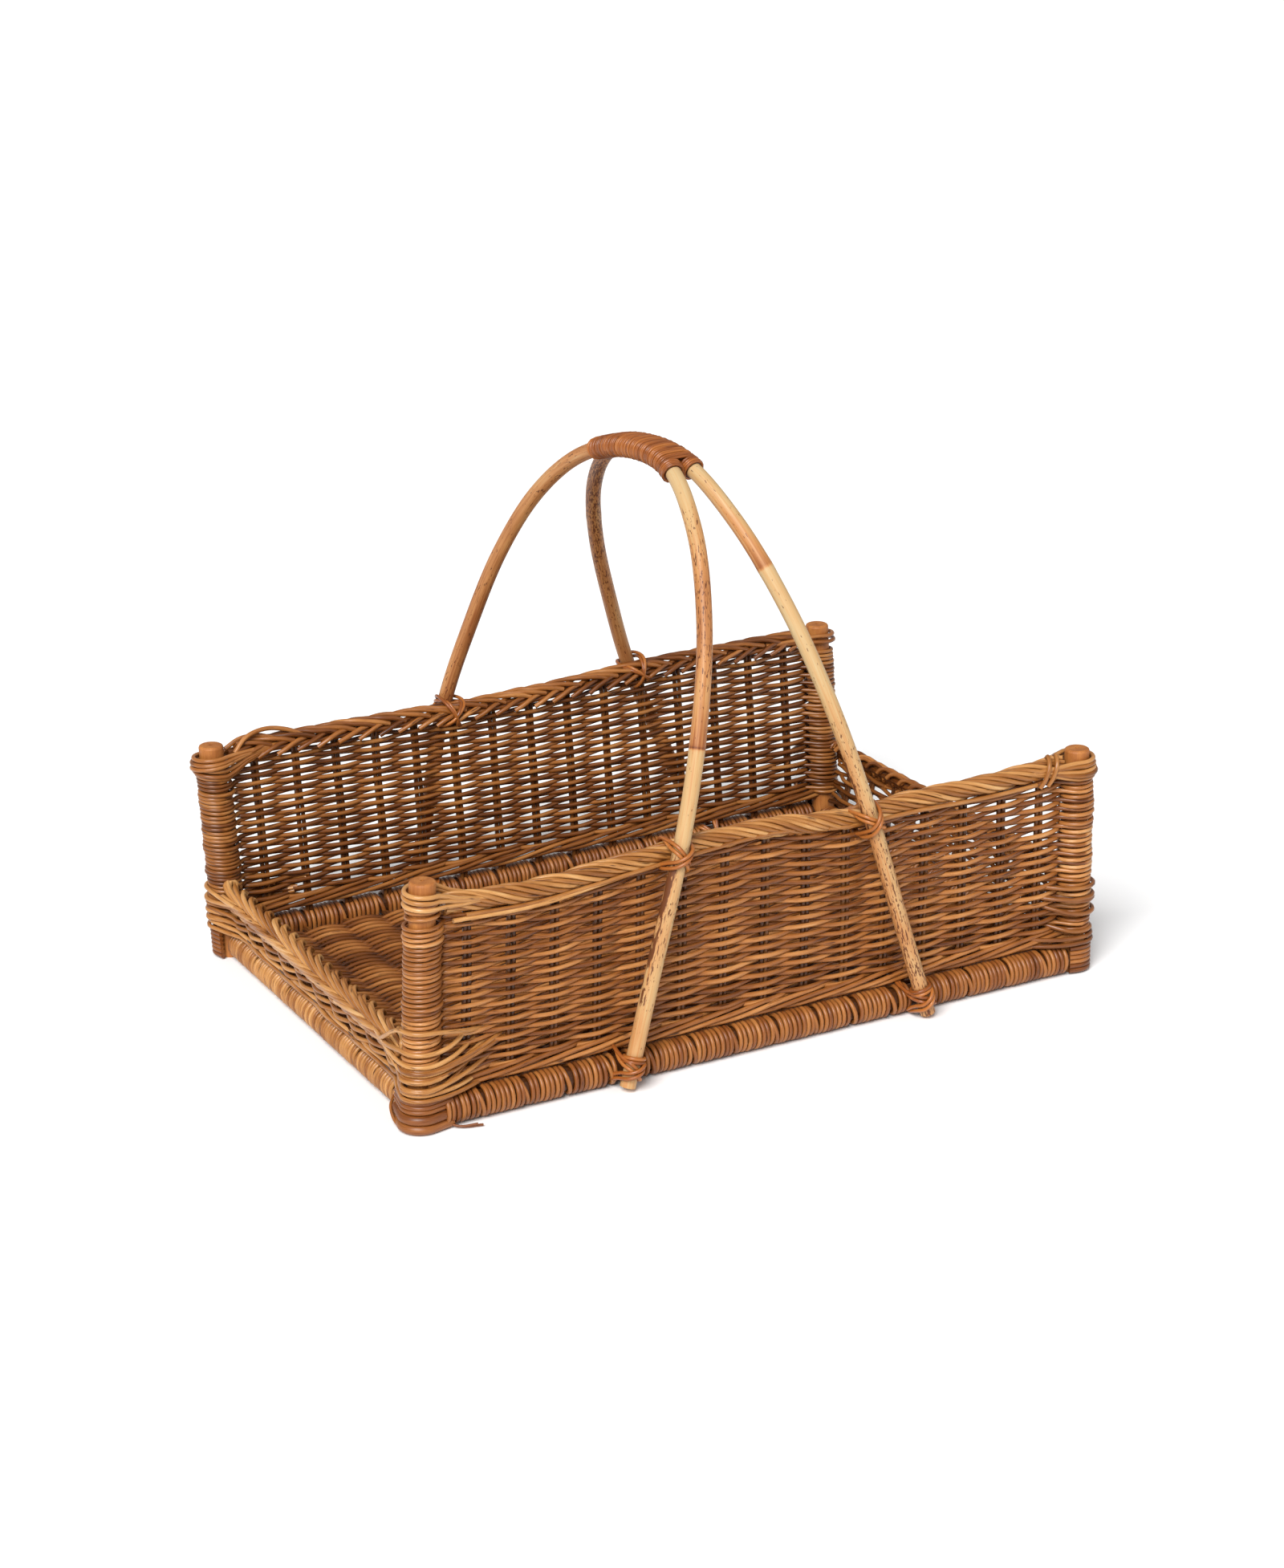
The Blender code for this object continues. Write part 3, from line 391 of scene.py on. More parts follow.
# %% The tree that makes tubes
def cane_tree():
    graph, given = geometry_tree("Cane along lines", {
        "Sides": ("Int", 8), "Material": ("Material", None),
    })
    line = graph.add("GeometryNodeMeshToCurve", {}, {"Mesh": given["Geometry"]})
    length = graph.add("GeometryNodeSplineParameter", output="Length")
    line = store(graph, line, "along", length + attribute(graph, "start"))
    thickness = attribute(graph, "thickness")
    skin = tube(graph, line, given["Sides"], thickness)
    skin = store_grain(graph, skin, attribute(graph, "along"), thickness)
    return end_tree(graph, skin, given["Material"])


CANE_TREE = cane_tree()


# %% Paths gathered into one piece
class Canes:
    """Centre lines of cane that together become one piece."""

    LABELS = ("thickness", "tone", "start", "speckle", "bark")

    def __init__(self, seed):
        self.random = np.random.default_rng(seed)
        self.points, self.edges = [], []
        self.values = {label: [] for label in self.LABELS}
        self.count = 0

    def lay(self, path, radius, tone=None, closed=False, speckle=0.0, bark=0.0):
        """Adds one strand. Its radius and marks are numbers, or lists with one value a point."""
        path = np.asarray(path, float)
        size = len(path)
        if tone is None:
            tone = self.random.uniform(0.1, 0.9)
        self.points.append(path)
        order = np.arange(self.count, self.count + size)
        self.edges.append(np.stack([order[:-1], order[1:]], axis=1))
        if closed:
            self.edges.append(np.array([[order[-1], order[0]]]))
        start = self.random.uniform(0, 50)
        for label, value in zip(self.LABELS, (radius, tone, start, speckle, bark)):
            self.values[label].append(np.broadcast_to(value, size))
        self.count += size

    def piece(self, name, material, sides=8):
        """All strands as one mesh."""
        mesh = bpy.data.meshes.new(name)
        mesh.from_pydata(np.concatenate(self.points), np.concatenate(self.edges).tolist(), [])
        for label, values in self.values.items():
            values = np.concatenate(values).astype(np.float32)
            mesh.attributes.new(label, "FLOAT", "POINT").data.foreach_set("value", values)
        thing = grown(name, mesh, CANE_TREE, {"Sides": sides, "Material": material})
        tell(thing, f"{len(self.points)} strands")
        return thing


def drift(places, size, wavelength, random):
    """A slow random wander, for work that is bent by hand."""
    first, second = random.uniform(0, math.tau, 2)
    angle = places * math.tau / wavelength
    return size * (np.sin(angle + first) + 0.6 * np.sin(angle * 2.3 + second)) / 1.3


def ease_in(share):
    """0 to 1 with soft ends."""
    share = np.clip(share, 0, 1)
    return share * share * (3 - 2 * share)


# %% [markdown]
# ## The finish of cane
# Cane is a natural rod with fine fibres along it, and no two strands have the same brown. The
# finish reads the strand's tone and the grain that the tubes carry, so that the fibres run
# along each strand round every bend. In the long walls and the floor the tone also holds painted
# shade where the strands dive, and painted light on the floor's crests and on the turns round
# the posts. A varnish gives a soft gloss.

# %% Cane in several browns
def new_finish(name):
    material = bpy.data.materials.new(name)
    material.use_nodes = True
    return material, Graph(material.node_tree), material.node_tree.nodes["Principled BSDF"]


def noise(graph, place, scale, detail):
    """Noise with its own scale along each axis of a place. In grain, the first is lengthwise."""
    stretched = graph.add("ShaderNodeVectorMath", {"operation": "MULTIPLY"}, {0: place, 1: scale})
    values = {"Vector": stretched, "Scale": 1.0, "Detail": detail}
    return graph.add("ShaderNodeTexNoise", {}, values, "Fac")


def shade_attribute(graph, name, output="Fac"):
    return graph.add("ShaderNodeAttribute", {"attribute_name": name}, output=output)


def ramp(graph, stops, shade):
    return graph.add("ShaderNodeValToRGB", {"stops": stops}, {"Fac": shade}, "Color")


def stained(graph, colour, share, most, stain):
    """A colour with stains where a share is above 0, up to a greatest share."""
    share = share.maths("MAXIMUM", 0.0).maths("MINIMUM", most)
    return graph.add(
        "ShaderNodeMix", {"data_type": "RGBA"}, {0: share, 6: colour, 7: (*stain, 1)}, 2,
    )


def surface(graph, shader, colour, roughness, height, strength, depth, gloss=0.5):
    """Plugs a colour, a roughness and a fine relief into a shader."""
    bump = graph.add("ShaderNodeBump", {}, {
        "Height": height, "Strength": strength, "Distance": depth,
    })
    for name, value in (("Base Color", colour), ("Roughness", roughness), ("Normal", bump)):
        graph.tree.links.new(value.socket, shader.inputs[name])
    shader.inputs["Specular IOR Level"].default_value = gloss


def cane_finish(name, stops, knots=0.64, roughness=0.22):
    """Cane whose brown runs through the given stops, from its darkest strands to its palest."""
    material, graph, shader = new_finish(name)
    grain = shade_attribute(graph, "grain", "Vector")
    fibres = noise(graph, grain, (110, 2100, 2100), 4)
    patches = noise(graph, grain, (26, 170, 170), 2)
    shade = shade_attribute(graph, "tone") * 0.54 + patches * 0.66 + fibres * 0.50 - 0.40
    spots = (noise(graph, grain, (60, 420, 420), 2) - knots) * 9
    colour = stained(graph, ramp(graph, stops, shade), spots, 0.85, (0.05, 0.013, 0.004))
    surface(graph, shader, colour, roughness + fibres * 0.20, fibres, 0.35, 0.0004, 0.46)
    return material


WEAVE = cane_finish("woven cane", (
    (0, (0.042, 0.010, 0.001)), (0.3, (0.165, 0.048, 0.008)), (0.55, (0.310, 0.108, 0.023)),
    (0.8, (0.48, 0.205, 0.060)), (1, (0.63, 0.37, 0.160)),
))
# A darker copy of the woven cane for the back wall and the right end wall, seen on the inside of
# the basket: painted shade
SHADED_WEAVE = cane_finish("shaded cane", (
    (0, (0.038, 0.009, 0.001)), (0.35, (0.155, 0.046, 0.008)), (0.65, (0.295, 0.105, 0.022)),
    (1, (0.47, 0.22, 0.066)),
))
WRAP = cane_finish("post cane", (
    (0, (0.055, 0.013, 0.002)), (0.3, (0.200, 0.057, 0.009)), (0.6, (0.36, 0.132, 0.029)),
    (1, (0.60, 0.33, 0.125)),
), roughness=0.30)
PLAIT = cane_finish("border cane", (
    (0, (0.088, 0.022, 0.004)), (0.3, (0.30, 0.108, 0.021)), (0.6, (0.53, 0.255, 0.078)),
    (1, (0.79, 0.55, 0.280)),
))
LASHING = cane_finish("lashing cane", (
    (0, (0.075, 0.017, 0.003)), (0.4, (0.285, 0.080, 0.014)), (0.75, (0.46, 0.160, 0.032)),
    (1, (0.64, 0.30, 0.080)),
), knots=0.72)
# Stakes and the rails' cores show only in the gaps of the weave: partly their own brown, partly
# painted shade
SHADED_STAKE_CANE = cane_finish("stake cane in painted shade", (
    (0, (0.028, 0.008, 0.002)), (0.5, (0.105, 0.032, 0.006)), (1, (0.25, 0.10, 0.022)),
))

# %% [markdown]
# ## The long walls
# One strand goes in front of a stake and behind the next, all along the wall. At the corner it
# turns one and a half times round the post and comes back as the next row, which goes behind
# where the last one went in front. So a wall is one long path, and its turns round the posts
# are the rings that show there.

# %% Sizes of the weave, and the walls
CANE = 0.00172
LONG_STAKES = 15
LONG_PITCH = 2 * POST_X / (LONG_STAKES + 1)
WEAVE_SWING = 0.0031
RING_RADIUS = 0.0121
RING_TOP_RADIUS = 0.0112
RING_SHOULDER = 0.148
WALL_ROWS = {FRONT: 36, BACK: 39}
WALL_CANES = {FRONT: 0.00178, BACK: 0.00176}
WALL_FILL = {FRONT: 1.1, BACK: 0.0}
# How much paler the turns round the posts are than their rows: a painted highlight, stronger at the
# front posts
POST_PAINTED_HIGHLIGHTS = {FRONT: 0.28, BACK: 0.12}
WALING_RISE = {FRONT: 0.0, BACK: 0.0024}
WRAP_CANE = 0.00155
ROW_STEPS = (LONG_STAKES + 1) * 8 + 1
ROWS_FOOT = WALL_FOOT + 0.0083
POST_BEND = 0.0072
# One turn in six stands off its post by this much
SLACK_CHANCES = (0.0,) * 5 + (0.0018,)
WALING_STRANDS = 4
WALING_LOW = 0.0262
WALING_HIGH = 0.0350
WALING_CANE = 0.0018
WALING_SWINGS = (0.0046, 0.0036)
WALL_MARGIN = 0.004
RING_STEPS = 26
TOP_RING_STEP = 0.0046


def on_long_wall(side_y, along, out, z):
    """Points of a long wall, from the place between its posts, outwards and up."""
    left, right = post_x((LEFT, side_y), z), post_x((RIGHT, side_y), z)
    x = left + (right - left) * (along + POST_X) / (2 * POST_X)
    return path_of(x, side_y * (POST_Y + out), z)


def ring_radius(z):
    return RING_RADIUS + (RING_TOP_RADIUS - RING_RADIUS) * ease_in((z - RING_SHOULDER) / 0.01)


def wall_path(side_y, rows, random):
    """The strand that weaves a whole wall: its points, and a radius and a tone for each; the tone
    holds painted shade in the dives and a painted highlight on the post turns.
    """
    stretches = []
    tone = random.uniform(0.15, 0.95, rows + 1)
    for row in range(rows):
        heading = 1 if row % 2 == 0 else -1
        along = heading * np.linspace(-POST_X, POST_X, ROW_STEPS)
        pitch = (border_height(side_y, along) - BORDER_RADIUS - ROWS_FOOT) / rows
        z = ROWS_FOOT + (row + 0.5) * pitch + drift(along, 0.0004, 0.11, random)
        to_post = POST_X - np.abs(along)
        near = ease_in((LONG_PITCH * 0.5 - to_post) / POST_BEND)
        swing = WEAVE_SWING + (ring_radius(z) - WEAVE_SWING) * near
        swing = swing * (1 + drift(along, 0.10, 0.07, random) * (1 - near))
        wave = np.cos(math.pi * along / LONG_PITCH)
        z = z + heading * np.sign(along) * -0.25 * pitch * ease_in(1 - to_post / LONG_PITCH)
        # Painted shade: the tone is darker where the strand dives between the stakes
        painted_crease_shade = (1 - np.abs(wave)) * (1 - near)
        radius = WALL_CANES[side_y] + WALL_FILL[side_y] * (pitch - pitch.mean())
        stretches.append((
            on_long_wall(side_y, along, heading * swing * wave, z),
            radius + (WRAP_CANE - radius) * near, tone[row] + 0.08 - 0.20 * painted_crease_shade,
        ))
        if row == rows - 1:
            break
        turn = np.linspace(0, 3 * math.pi, RING_STEPS * 3 // 2 + 1)[1:-1]
        height = z[-1] + 1.5 * pitch[-1] * turn / (3 * math.pi)
        slack = random.choice(SLACK_CHANCES)
        ring = ring_radius(height) + drift(turn, 0.0004, 5.0, random)
        ring = ring + slack * np.sin(turn / 3) ** 2
        sideways = heading * (POST_X + ring * np.sin(turn))
        # The turns round the post are paler by a painted highlight
        stretches.append((
            on_long_wall(side_y, sideways, heading * ring * np.cos(turn), height),
            np.full(len(turn), WRAP_CANE), np.full(len(turn), tone[row + 1] + POST_PAINTED_HIGHLIGHTS[side_y]),
        ))
    return [np.concatenate(parts) for parts in zip(*stretches)]


def long_wall(side_y, material):
    where = Y_NAMES[side_y]
    canes = Canes(11 + side_y)
    canes.lay(*wall_path(side_y, WALL_ROWS[side_y], canes.random))
    for phase in range(WALING_STRANDS):
        along = np.linspace(-POST_X + WALL_MARGIN, POST_X - WALL_MARGIN, 260)
        share = (along / LONG_PITCH + phase + 0.5) % WALING_STRANDS
        front = WALING_STRANDS - 1
        ahead = np.sin(np.clip(share / front, 0, 1) * math.pi) ** 0.5
        behind = np.sin(np.clip(share - front, 0, 1) * math.pi)
        lift = np.where(share < front, share / front, 1 - (share - front))
        z = WALING_LOW + (WALING_HIGH - WALING_LOW) * ease_in(lift)
        z = z + WALING_RISE[side_y] + drift(along, 0.0005, 0.13, canes.random)
        out = (WALING_SWINGS[0] * ahead - WALING_SWINGS[1] * behind) * -side_y
        canes.lay(on_long_wall(side_y, along, out, z), WALING_CANE)
    for side_x in (LEFT, RIGHT):
        corner = (side_x, side_y)
        foot = border_height(side_y, side_x * POST_X) - BORDER_RADIUS
        for z in np.arange(foot + 0.003, POST_HEIGHTS[corner] - 0.0150, TOP_RING_STEP):
            turn = np.linspace(0, math.tau, 24, endpoint=False)
            ring = ring_radius(z) + drift(turn, 0.0003, 5.0, canes.random)
            canes.lay(path_of(
                post_x(corner, z) + ring * np.sin(turn), side_y * POST_Y + ring * np.cos(turn),
                z + 0.0006 * np.sin(turn + side_x),
            ), WRAP_CANE, closed=True)
    wall = canes.piece("woven_wall_" + where, material, 7)
    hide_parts("weave_" + where, f"post_wrap_{where}_left", f"post_wrap_{where}_right")
    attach(wall, "root")


long_wall(FRONT, WEAVE)
long_wall(BACK, SHADED_WEAVE)


# %% The stakes of the long walls
STAKE_RADIUS = 0.00178
STAKE_SPREAD = 0.00176


def long_stakes(side_y):
    where = Y_NAMES[side_y]
    canes = Canes(21 + side_y)
    for i in range(LONG_STAKES):
        along = (i - (LONG_STAKES - 1) / 2) * LONG_PITCH
        for half in (-1, 1):
            height = np.linspace(RAIL_RADIUS, border_height(side_y, along), 9)
            place = along + half * STAKE_SPREAD + drift(height, 0.0004, 0.12, canes.random)
            canes.lay(on_long_wall(side_y, place, 0.0, height), STAKE_RADIUS)
    stakes = canes.piece("stake_pairs_" + where, SHADED_STAKE_CANE, 6)
    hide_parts("stakes_" + where)
    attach(stakes, "root")


long_stakes(FRONT)
long_stakes(BACK)

# %% [markdown]
# ## Cane bound round the rails
# The rails are rods that are wound with cane, in bundles of turns between the stakes. A turn is
# a ring, and a ring is the same shape wherever it is, so one ring is instanced on points along
# the rail. Each point carries the rail's direction, and a little random tilt keeps it hand-made.


# %% The tree that sets rings on points
RAIL_RING = 0.0102
RAIL_TILT = 0.035


def ring_tree():
    graph, given = geometry_tree("Rings of cane on points", {
        "Ring Radius": ("Float", 0.0103), "Cane Radius": ("Float", 0.0017),
        "Ring Steps": ("Int", 18), "Tilt": ("Float", 0.05), "Seed": ("Int", 1),
        "Material": ("Material", None),
    })
    circle = graph.add("GeometryNodeCurvePrimitiveCircle", {}, {
        "Resolution": given["Ring Steps"], "Radius": given["Ring Radius"],
    })
    length = graph.add("GeometryNodeSplineParameter", output="Length")
    circle = store(graph, circle, "along", length)
    ring = tube(graph, circle, 7, given["Cane Radius"], False)
    jitter = graph.add("FunctionNodeRandomValue", {"data_type": "FLOAT_VECTOR"}, {
        0: (-1, -1, -1), 1: (1, 1, 1), "Seed": given["Seed"],
    })
    jitter = graph.add(
        "ShaderNodeVectorMath", {"operation": "SCALE"}, {0: jitter, "Scale": given["Tilt"]},
    )
    facing = attribute(graph, "facing", "FLOAT_VECTOR")
    facing = graph.add("ShaderNodeVectorMath", {"operation": "ADD"}, {0: facing, 1: jitter})
    turned = graph.add("FunctionNodeAlignRotationToVector", {"axis": "Z"}, {"Vector": facing})
    rings = graph.add("GeometryNodeInstanceOnPoints", {}, {
        "Points": given["Geometry"], "Instance": ring, "Rotation": turned,
        "Scale": random_value(graph, 0.965, 1.005, given["Seed"]),
    })
    shade = random_value(graph, 0.15, 0.72, given["Seed"] + 1)
    rings = store(graph, rings, "tone", shade, domain="INSTANCE")
    offset = random_value(graph, 0.0, 50.0, given["Seed"] + 2)
    rings = store(graph, rings, "start", offset, domain="INSTANCE")
    rings = graph.add("GeometryNodeRealizeInstances", {}, {"Geometry": rings})
    along = attribute(graph, "along") + attribute(graph, "start")
    rings = store_grain(graph, rings, along, given["Cane Radius"])
    return end_tree(graph, rings, given["Material"])


RING_TREE = ring_tree()


def rings_on(name, places, facings, seed, material):
    """Rings of cane at places along a straight rail."""
    mesh = bpy.data.meshes.new(name)
    mesh.from_pydata([tuple(place) for place in places], [], [])
    directions = np.asarray(facings, np.float32).ravel()
    mesh.attributes.new("facing", "FLOAT_VECTOR", "POINT").data.foreach_set("vector", directions)
    thing = grown(name, mesh, RING_TREE, {
        "Ring Radius": RAIL_RING, "Cane Radius": CANE, "Tilt": RAIL_TILT, "Seed": seed,
        "Material": material,
    })
    tell(thing, f"{len(places)} rings")
    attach(thing, "root")
    return thing


# %% Bundles on the four rails
RING_PITCH = 0.0039
BUNDLE_GAP = 0.0050
END_MARGIN = 0.004
SLANT = 0.26
FOOT_ROOM = 0.0060


def bundles(low, high, pitch, phase):
    """Places and slants of the turns between a rail's ends, with a slanted turn at each gap."""
    count = round((high - low - 2 * CANE) / RING_PITCH) + 1
    places = np.linspace(low + CANE, high - CANE, count)
    to_stake = np.abs((places - phase + pitch / 2) % pitch - pitch / 2)
    upright = places[to_stake > BUNDLE_GAP / 2]
    first = math.ceil((low + END_MARGIN - phase) / pitch)
    last = math.floor((high - END_MARGIN - phase) / pitch)
    slanted = phase + pitch * np.arange(first, last + 1)
    slants = np.concatenate([0 * upright, SLANT + 0 * slanted])
    return np.concatenate([upright, slanted]), slants


for side_y in (FRONT, BACK):
    feet = [leg_at(side_x, side_y, RAIL_RADIUS)[0] for side_x in (LEFT, RIGHT)]
    beside = [foot + room for foot in feet for room in (-FOOT_ROOM, FOOT_ROOM)]
    for i, stretch in enumerate(("left", "middle", "right")):
        node = f"rail_binding_{Y_NAMES[side_y]}_{stretch}"
        low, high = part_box(node)
        start, end = [low[0], *beside, high[0]][2 * i : 2 * i + 2]
        along, slants = bundles(start, end, LONG_PITCH, 0.0)
        places = [(x, side_y * LONG_RAIL_Y, RAIL_RADIUS) for x in along]
        facings = [(1, 0, slant) for slant in slants]
        turns = rings_on("turns_" + node, places, facings, 31 + len(places), WRAP)
        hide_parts(node)

END_STAKES = 10
END_PITCH = 2 * POST_Y / (END_STAKES + 1)
for side_x in (LEFT, RIGHT):
    node = "rail_binding_" + X_NAMES[side_x]
    low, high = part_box(node)
    turn = end_line(side_x)[2]
    along, slants = bundles(low[1] + 0.001, high[1] - 0.001, END_PITCH, END_PITCH / 2)
    places = [(end_rail_x(side_x, y), y, RAIL_RADIUS) for y in along]
    facings = [(-math.sin(turn), math.cos(turn), slant) for slant in slants]
    # The left rail, on the lit side, takes the paler border cane: painted light
    finish = PLAIT if side_x == LEFT else WRAP
    turns = rings_on("turns_" + node, places, facings, 41 + side_x, finish)
    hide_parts(node)

# %% [markdown]
# ## The floor
# The floor is woven the same way, with its stakes from front to back. Its rows lie side by side
# and are all alike, so a Geometry Nodes tree makes them from a few numbers: a line is resampled,
# instanced once a row, and each row is then bent up and down over the stakes.


# %% The tree that weaves a flat panel
def panel_tree():
    graph, given = geometry_tree("Woven panel", {
        "Length": ("Float", 0.52), "Rows": ("Int", 90), "Row Pitch": ("Float", 0.0036),
        "Stake Pitch": ("Float", 0.034), "Swing": ("Float", 0.003),
        "Cane Radius": ("Float", 0.0017), "Points": ("Int", 120), "Wander": ("Float", 0.0004),
        "Seed": ("Int", 1), "Material": ("Material", None),
    })
    half = given["Length"] * 0.5
    start = graph.add("ShaderNodeCombineXYZ", {}, {0: half * -1.0})
    end = graph.add("ShaderNodeCombineXYZ", {}, {0: half})
    line = graph.add("GeometryNodeCurvePrimitiveLine", {}, {"Start": start, "End": end})
    line = graph.add("GeometryNodeResampleCurve", {}, {"Curve": line, "Count": given["Points"]})
    step = graph.add("ShaderNodeCombineXYZ", {}, {1: given["Row Pitch"]})
    rows = graph.add("GeometryNodeMeshLine", {}, {"Count": given["Rows"], "Offset": step})
    rows = graph.add("GeometryNodeInstanceOnPoints", {}, {"Points": rows, "Instance": line})
    number = graph.add("GeometryNodeInputIndex")
    rows = store(graph, rows, "row", number, domain="INSTANCE")
    shade = random_value(graph, 0.10, 0.90, given["Seed"])
    rows = store(graph, rows, "tone", shade, domain="INSTANCE")
    rows = graph.add("GeometryNodeRealizeInstances", {}, {"Geometry": rows})
    place = graph.add("GeometryNodeInputPosition")
    parts = graph.add("ShaderNodeSeparateXYZ", {}, {0: place}, output=0)
    row = attribute(graph, "row")
    angle = (parts / given["Stake Pitch"] + row) * math.pi
    crest = angle.maths("COSINE")
    # Painted light and shade: the tone is paler on the crests over the stakes and darker in the
    # dips between
    rows = store(graph, rows, "tone", attribute(graph, "tone") + crest * 0.42 - 0.34)
    wander_place = graph.add(
        "ShaderNodeVectorMath", {"operation": "MULTIPLY"}, {0: place, 1: (14.0, 900.0, 1.0)},
    )
    wander = graph.add("ShaderNodeTexNoise", {}, {"Vector": wander_place, "Scale": 1.0})
    shift = graph.add("ShaderNodeCombineXYZ", {}, {
        1: (wander - 0.5) * 2.0 * given["Wander"], 2: crest * given["Swing"],
    })
    rows = graph.add("GeometryNodeSetPosition", {}, {"Geometry": rows, "Offset": shift})
    length = graph.add("GeometryNodeSplineParameter", output="Length")
    rows = store(graph, rows, "along", length + row * 1.7)
    skin = tube(graph, rows, 6, given["Cane Radius"])
    skin = store_grain(graph, skin, attribute(graph, "along"), given["Cane Radius"])
    return end_tree(graph, skin, given["Material"])


PANEL_TREE = panel_tree()

# %% Floor rows, fitted between the skewed end rails
FLOOR_HEIGHT = 0.0105
FLOOR_REACH = 0.1665
FLOOR_LENGTH = 2 * LONG_PITCH * 7.75
FLOOR_ROWS = 92
FLOOR_SWING = 0.0030
FLOOR_WANDER = 0.0006
RAIL_GAP = 0.009
seedling = bpy.data.meshes.new("floor_seed")
seedling.from_pydata([(0, 0, 0)], [], [])
floor = grown("woven_floor", seedling, PANEL_TREE, {
    "Length": FLOOR_LENGTH, "Rows": FLOOR_ROWS,
    "Row Pitch": 2 * FLOOR_REACH / (FLOOR_ROWS - 1), "Stake Pitch": LONG_PITCH,
    "Swing": FLOOR_SWING, "Cane Radius": CANE, "Points": 125, "Wander": FLOOR_WANDER,
    "Seed": 5, "Material": WEAVE,
})
spots = np.empty(len(floor.data.vertices) * 3)
floor.data.vertices.foreach_get("co", spots)
spots = spots.reshape(-1, 3)
spots[:, 1] -= FLOOR_REACH
left = end_rail_x(LEFT, spots[:, 1]) + RAIL_GAP
right = end_rail_x(RIGHT, spots[:, 1]) - RAIL_GAP
spots[:, 0] = left + (right - left) * (spots[:, 0] / FLOOR_LENGTH + 0.5)
spots[:, 2] += FLOOR_HEIGHT
floor.data.vertices.foreach_set("co", spots.ravel())
tell(floor, f"{FLOOR_ROWS} rows")
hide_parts("floor_weave")
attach(floor, "root")

# %% Floor stakes
FLOOR_STAKE_RADIUS = 0.0015
canes = Canes(51)
FLOOR_STAKE_REACH = 0.175
y = np.linspace(-FLOOR_STAKE_REACH, FLOOR_STAKE_REACH, 12)
for i in range(LONG_STAKES):
    x = (i - (LONG_STAKES - 1) / 2) * LONG_PITCH
    for half in (-1, 1):
        stake = path_of(x + half * FLOOR_STAKE_RADIUS, y, FLOOR_HEIGHT)
        canes.lay(stake, FLOOR_STAKE_RADIUS)
floor_stakes = canes.piece("floor_stake_pairs", SHADED_STAKE_CANE, 6)
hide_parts("floor_stakes")
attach(floor_stakes, "root")

# %% [markdown]
# ## The low end walls
# Each end wall is a few rows that lean outwards, over two rows that lie along the rail. Most of
# them go on round the outside of the corner posts and are tucked into the long walls, which
# makes the corners bulge.


# %% Rows and stakes of the end walls
def over_rail(side_x, along, out, z):
    """Points beside an end rail, from the place along it, the distance outwards and the height."""
    middle, _, turn = end_line(side_x)
    x = middle + side_x * out * math.cos(turn) - along * math.sin(turn)
    y = along * math.cos(turn) + side_x * out * math.sin(turn)
    return path_of(x, y, z)


def on_end_wall(side_x, along, out, up):
    """Points of an end wall, from the place along its rail, outwards and up its leaning face."""
    sideways = out * math.cos(END_WALL_LEAN) + up * math.sin(END_WALL_LEAN)
    z = RAIL_RADIUS + up * math.cos(END_WALL_LEAN) - out * math.sin(END_WALL_LEAN)
    return over_rail(side_x, along, sideways, z)


END_ROWS = {LEFT: 6, RIGHT: 8}
# Rows along the rail: height and distance outwards
END_LOW_ROWS = ((0.0254, 0.0076), (0.0288, 0.0066))
LOW_REACH = (0.035, 0.060)
CORNER_REACH = {LEFT: (0.032, 0.064), RIGHT: (0.018, 0.028)}
# Strands that leave a plait: height at the post, reach along the long wall and climb
TAILS = ((0.002, 0.026, 0.002), (-0.007, 0.030, 0.003))
FRONT_LEFT_TAILS = (
    (0.004, 0.030, 0.005), (-0.005, 0.036, 0.007), (0.020, 0.042, -0.012),
    (-0.011, 0.046, 0.010),
)
END_FOOT = 0.0185
CORNER_RING = 0.0145
# How a strand leaves a corner along a long wall: share of its reach, and distance outwards
CORNER_RUN = ((0.3, 0.0125), (0.62, 0.0072), (1.0, -0.002))
CORNER_START = 0.006
END_SPACING = 0.004
END_SWING = 0.0036
END_BEND = 0.035
ROW_MARGIN = 0.012
ROW_TUCK = 0.014
LOW_MARGIN = 0.016
FOOT_MARGIN = 0.013
FOOT_TWIST_UP = 0.0158
TAIL_CANE_TONE = 0.65


def round_corner(corner, z, reach, climb, random):
    """The end of a strand that goes round the outside of a post and into the long wall."""
    side_x, side_y = corner
    centre = np.array([post_x(corner, z), side_y * POST_Y])
    ring = CORNER_RING + random.uniform(-0.0010, 0.0010)
    points = [
        (centre[0] + side_x * ring * math.cos(a), centre[1] + side_y * ring * math.sin(a), z)
        for a in np.linspace(0, math.pi / 2, 7)
    ]
    for share, out in CORNER_RUN:
        x = centre[0] - side_x * (CORNER_START + reach * share)
        points.append((x, centre[1] + side_y * out, z + climb * share))
    return np.array(points)


def corner_ends(side_x, path, reaches, climbs, random):
    """How a strand of an end wall goes on round its front and its back corner."""
    return [
        round_corner(
            (side_x, side_y), path[0 if side_y == FRONT else -1, 2],
            random.uniform(*reaches), random.uniform(*climbs), random,
        )
        for side_y in (FRONT, BACK)
    ]


def plait_up(side_x):
    """How far up its leaning face an end wall's plait lies."""
    return (PLAIT_HEIGHTS[side_x] - RAIL_RADIUS) / math.cos(END_WALL_LEAN)


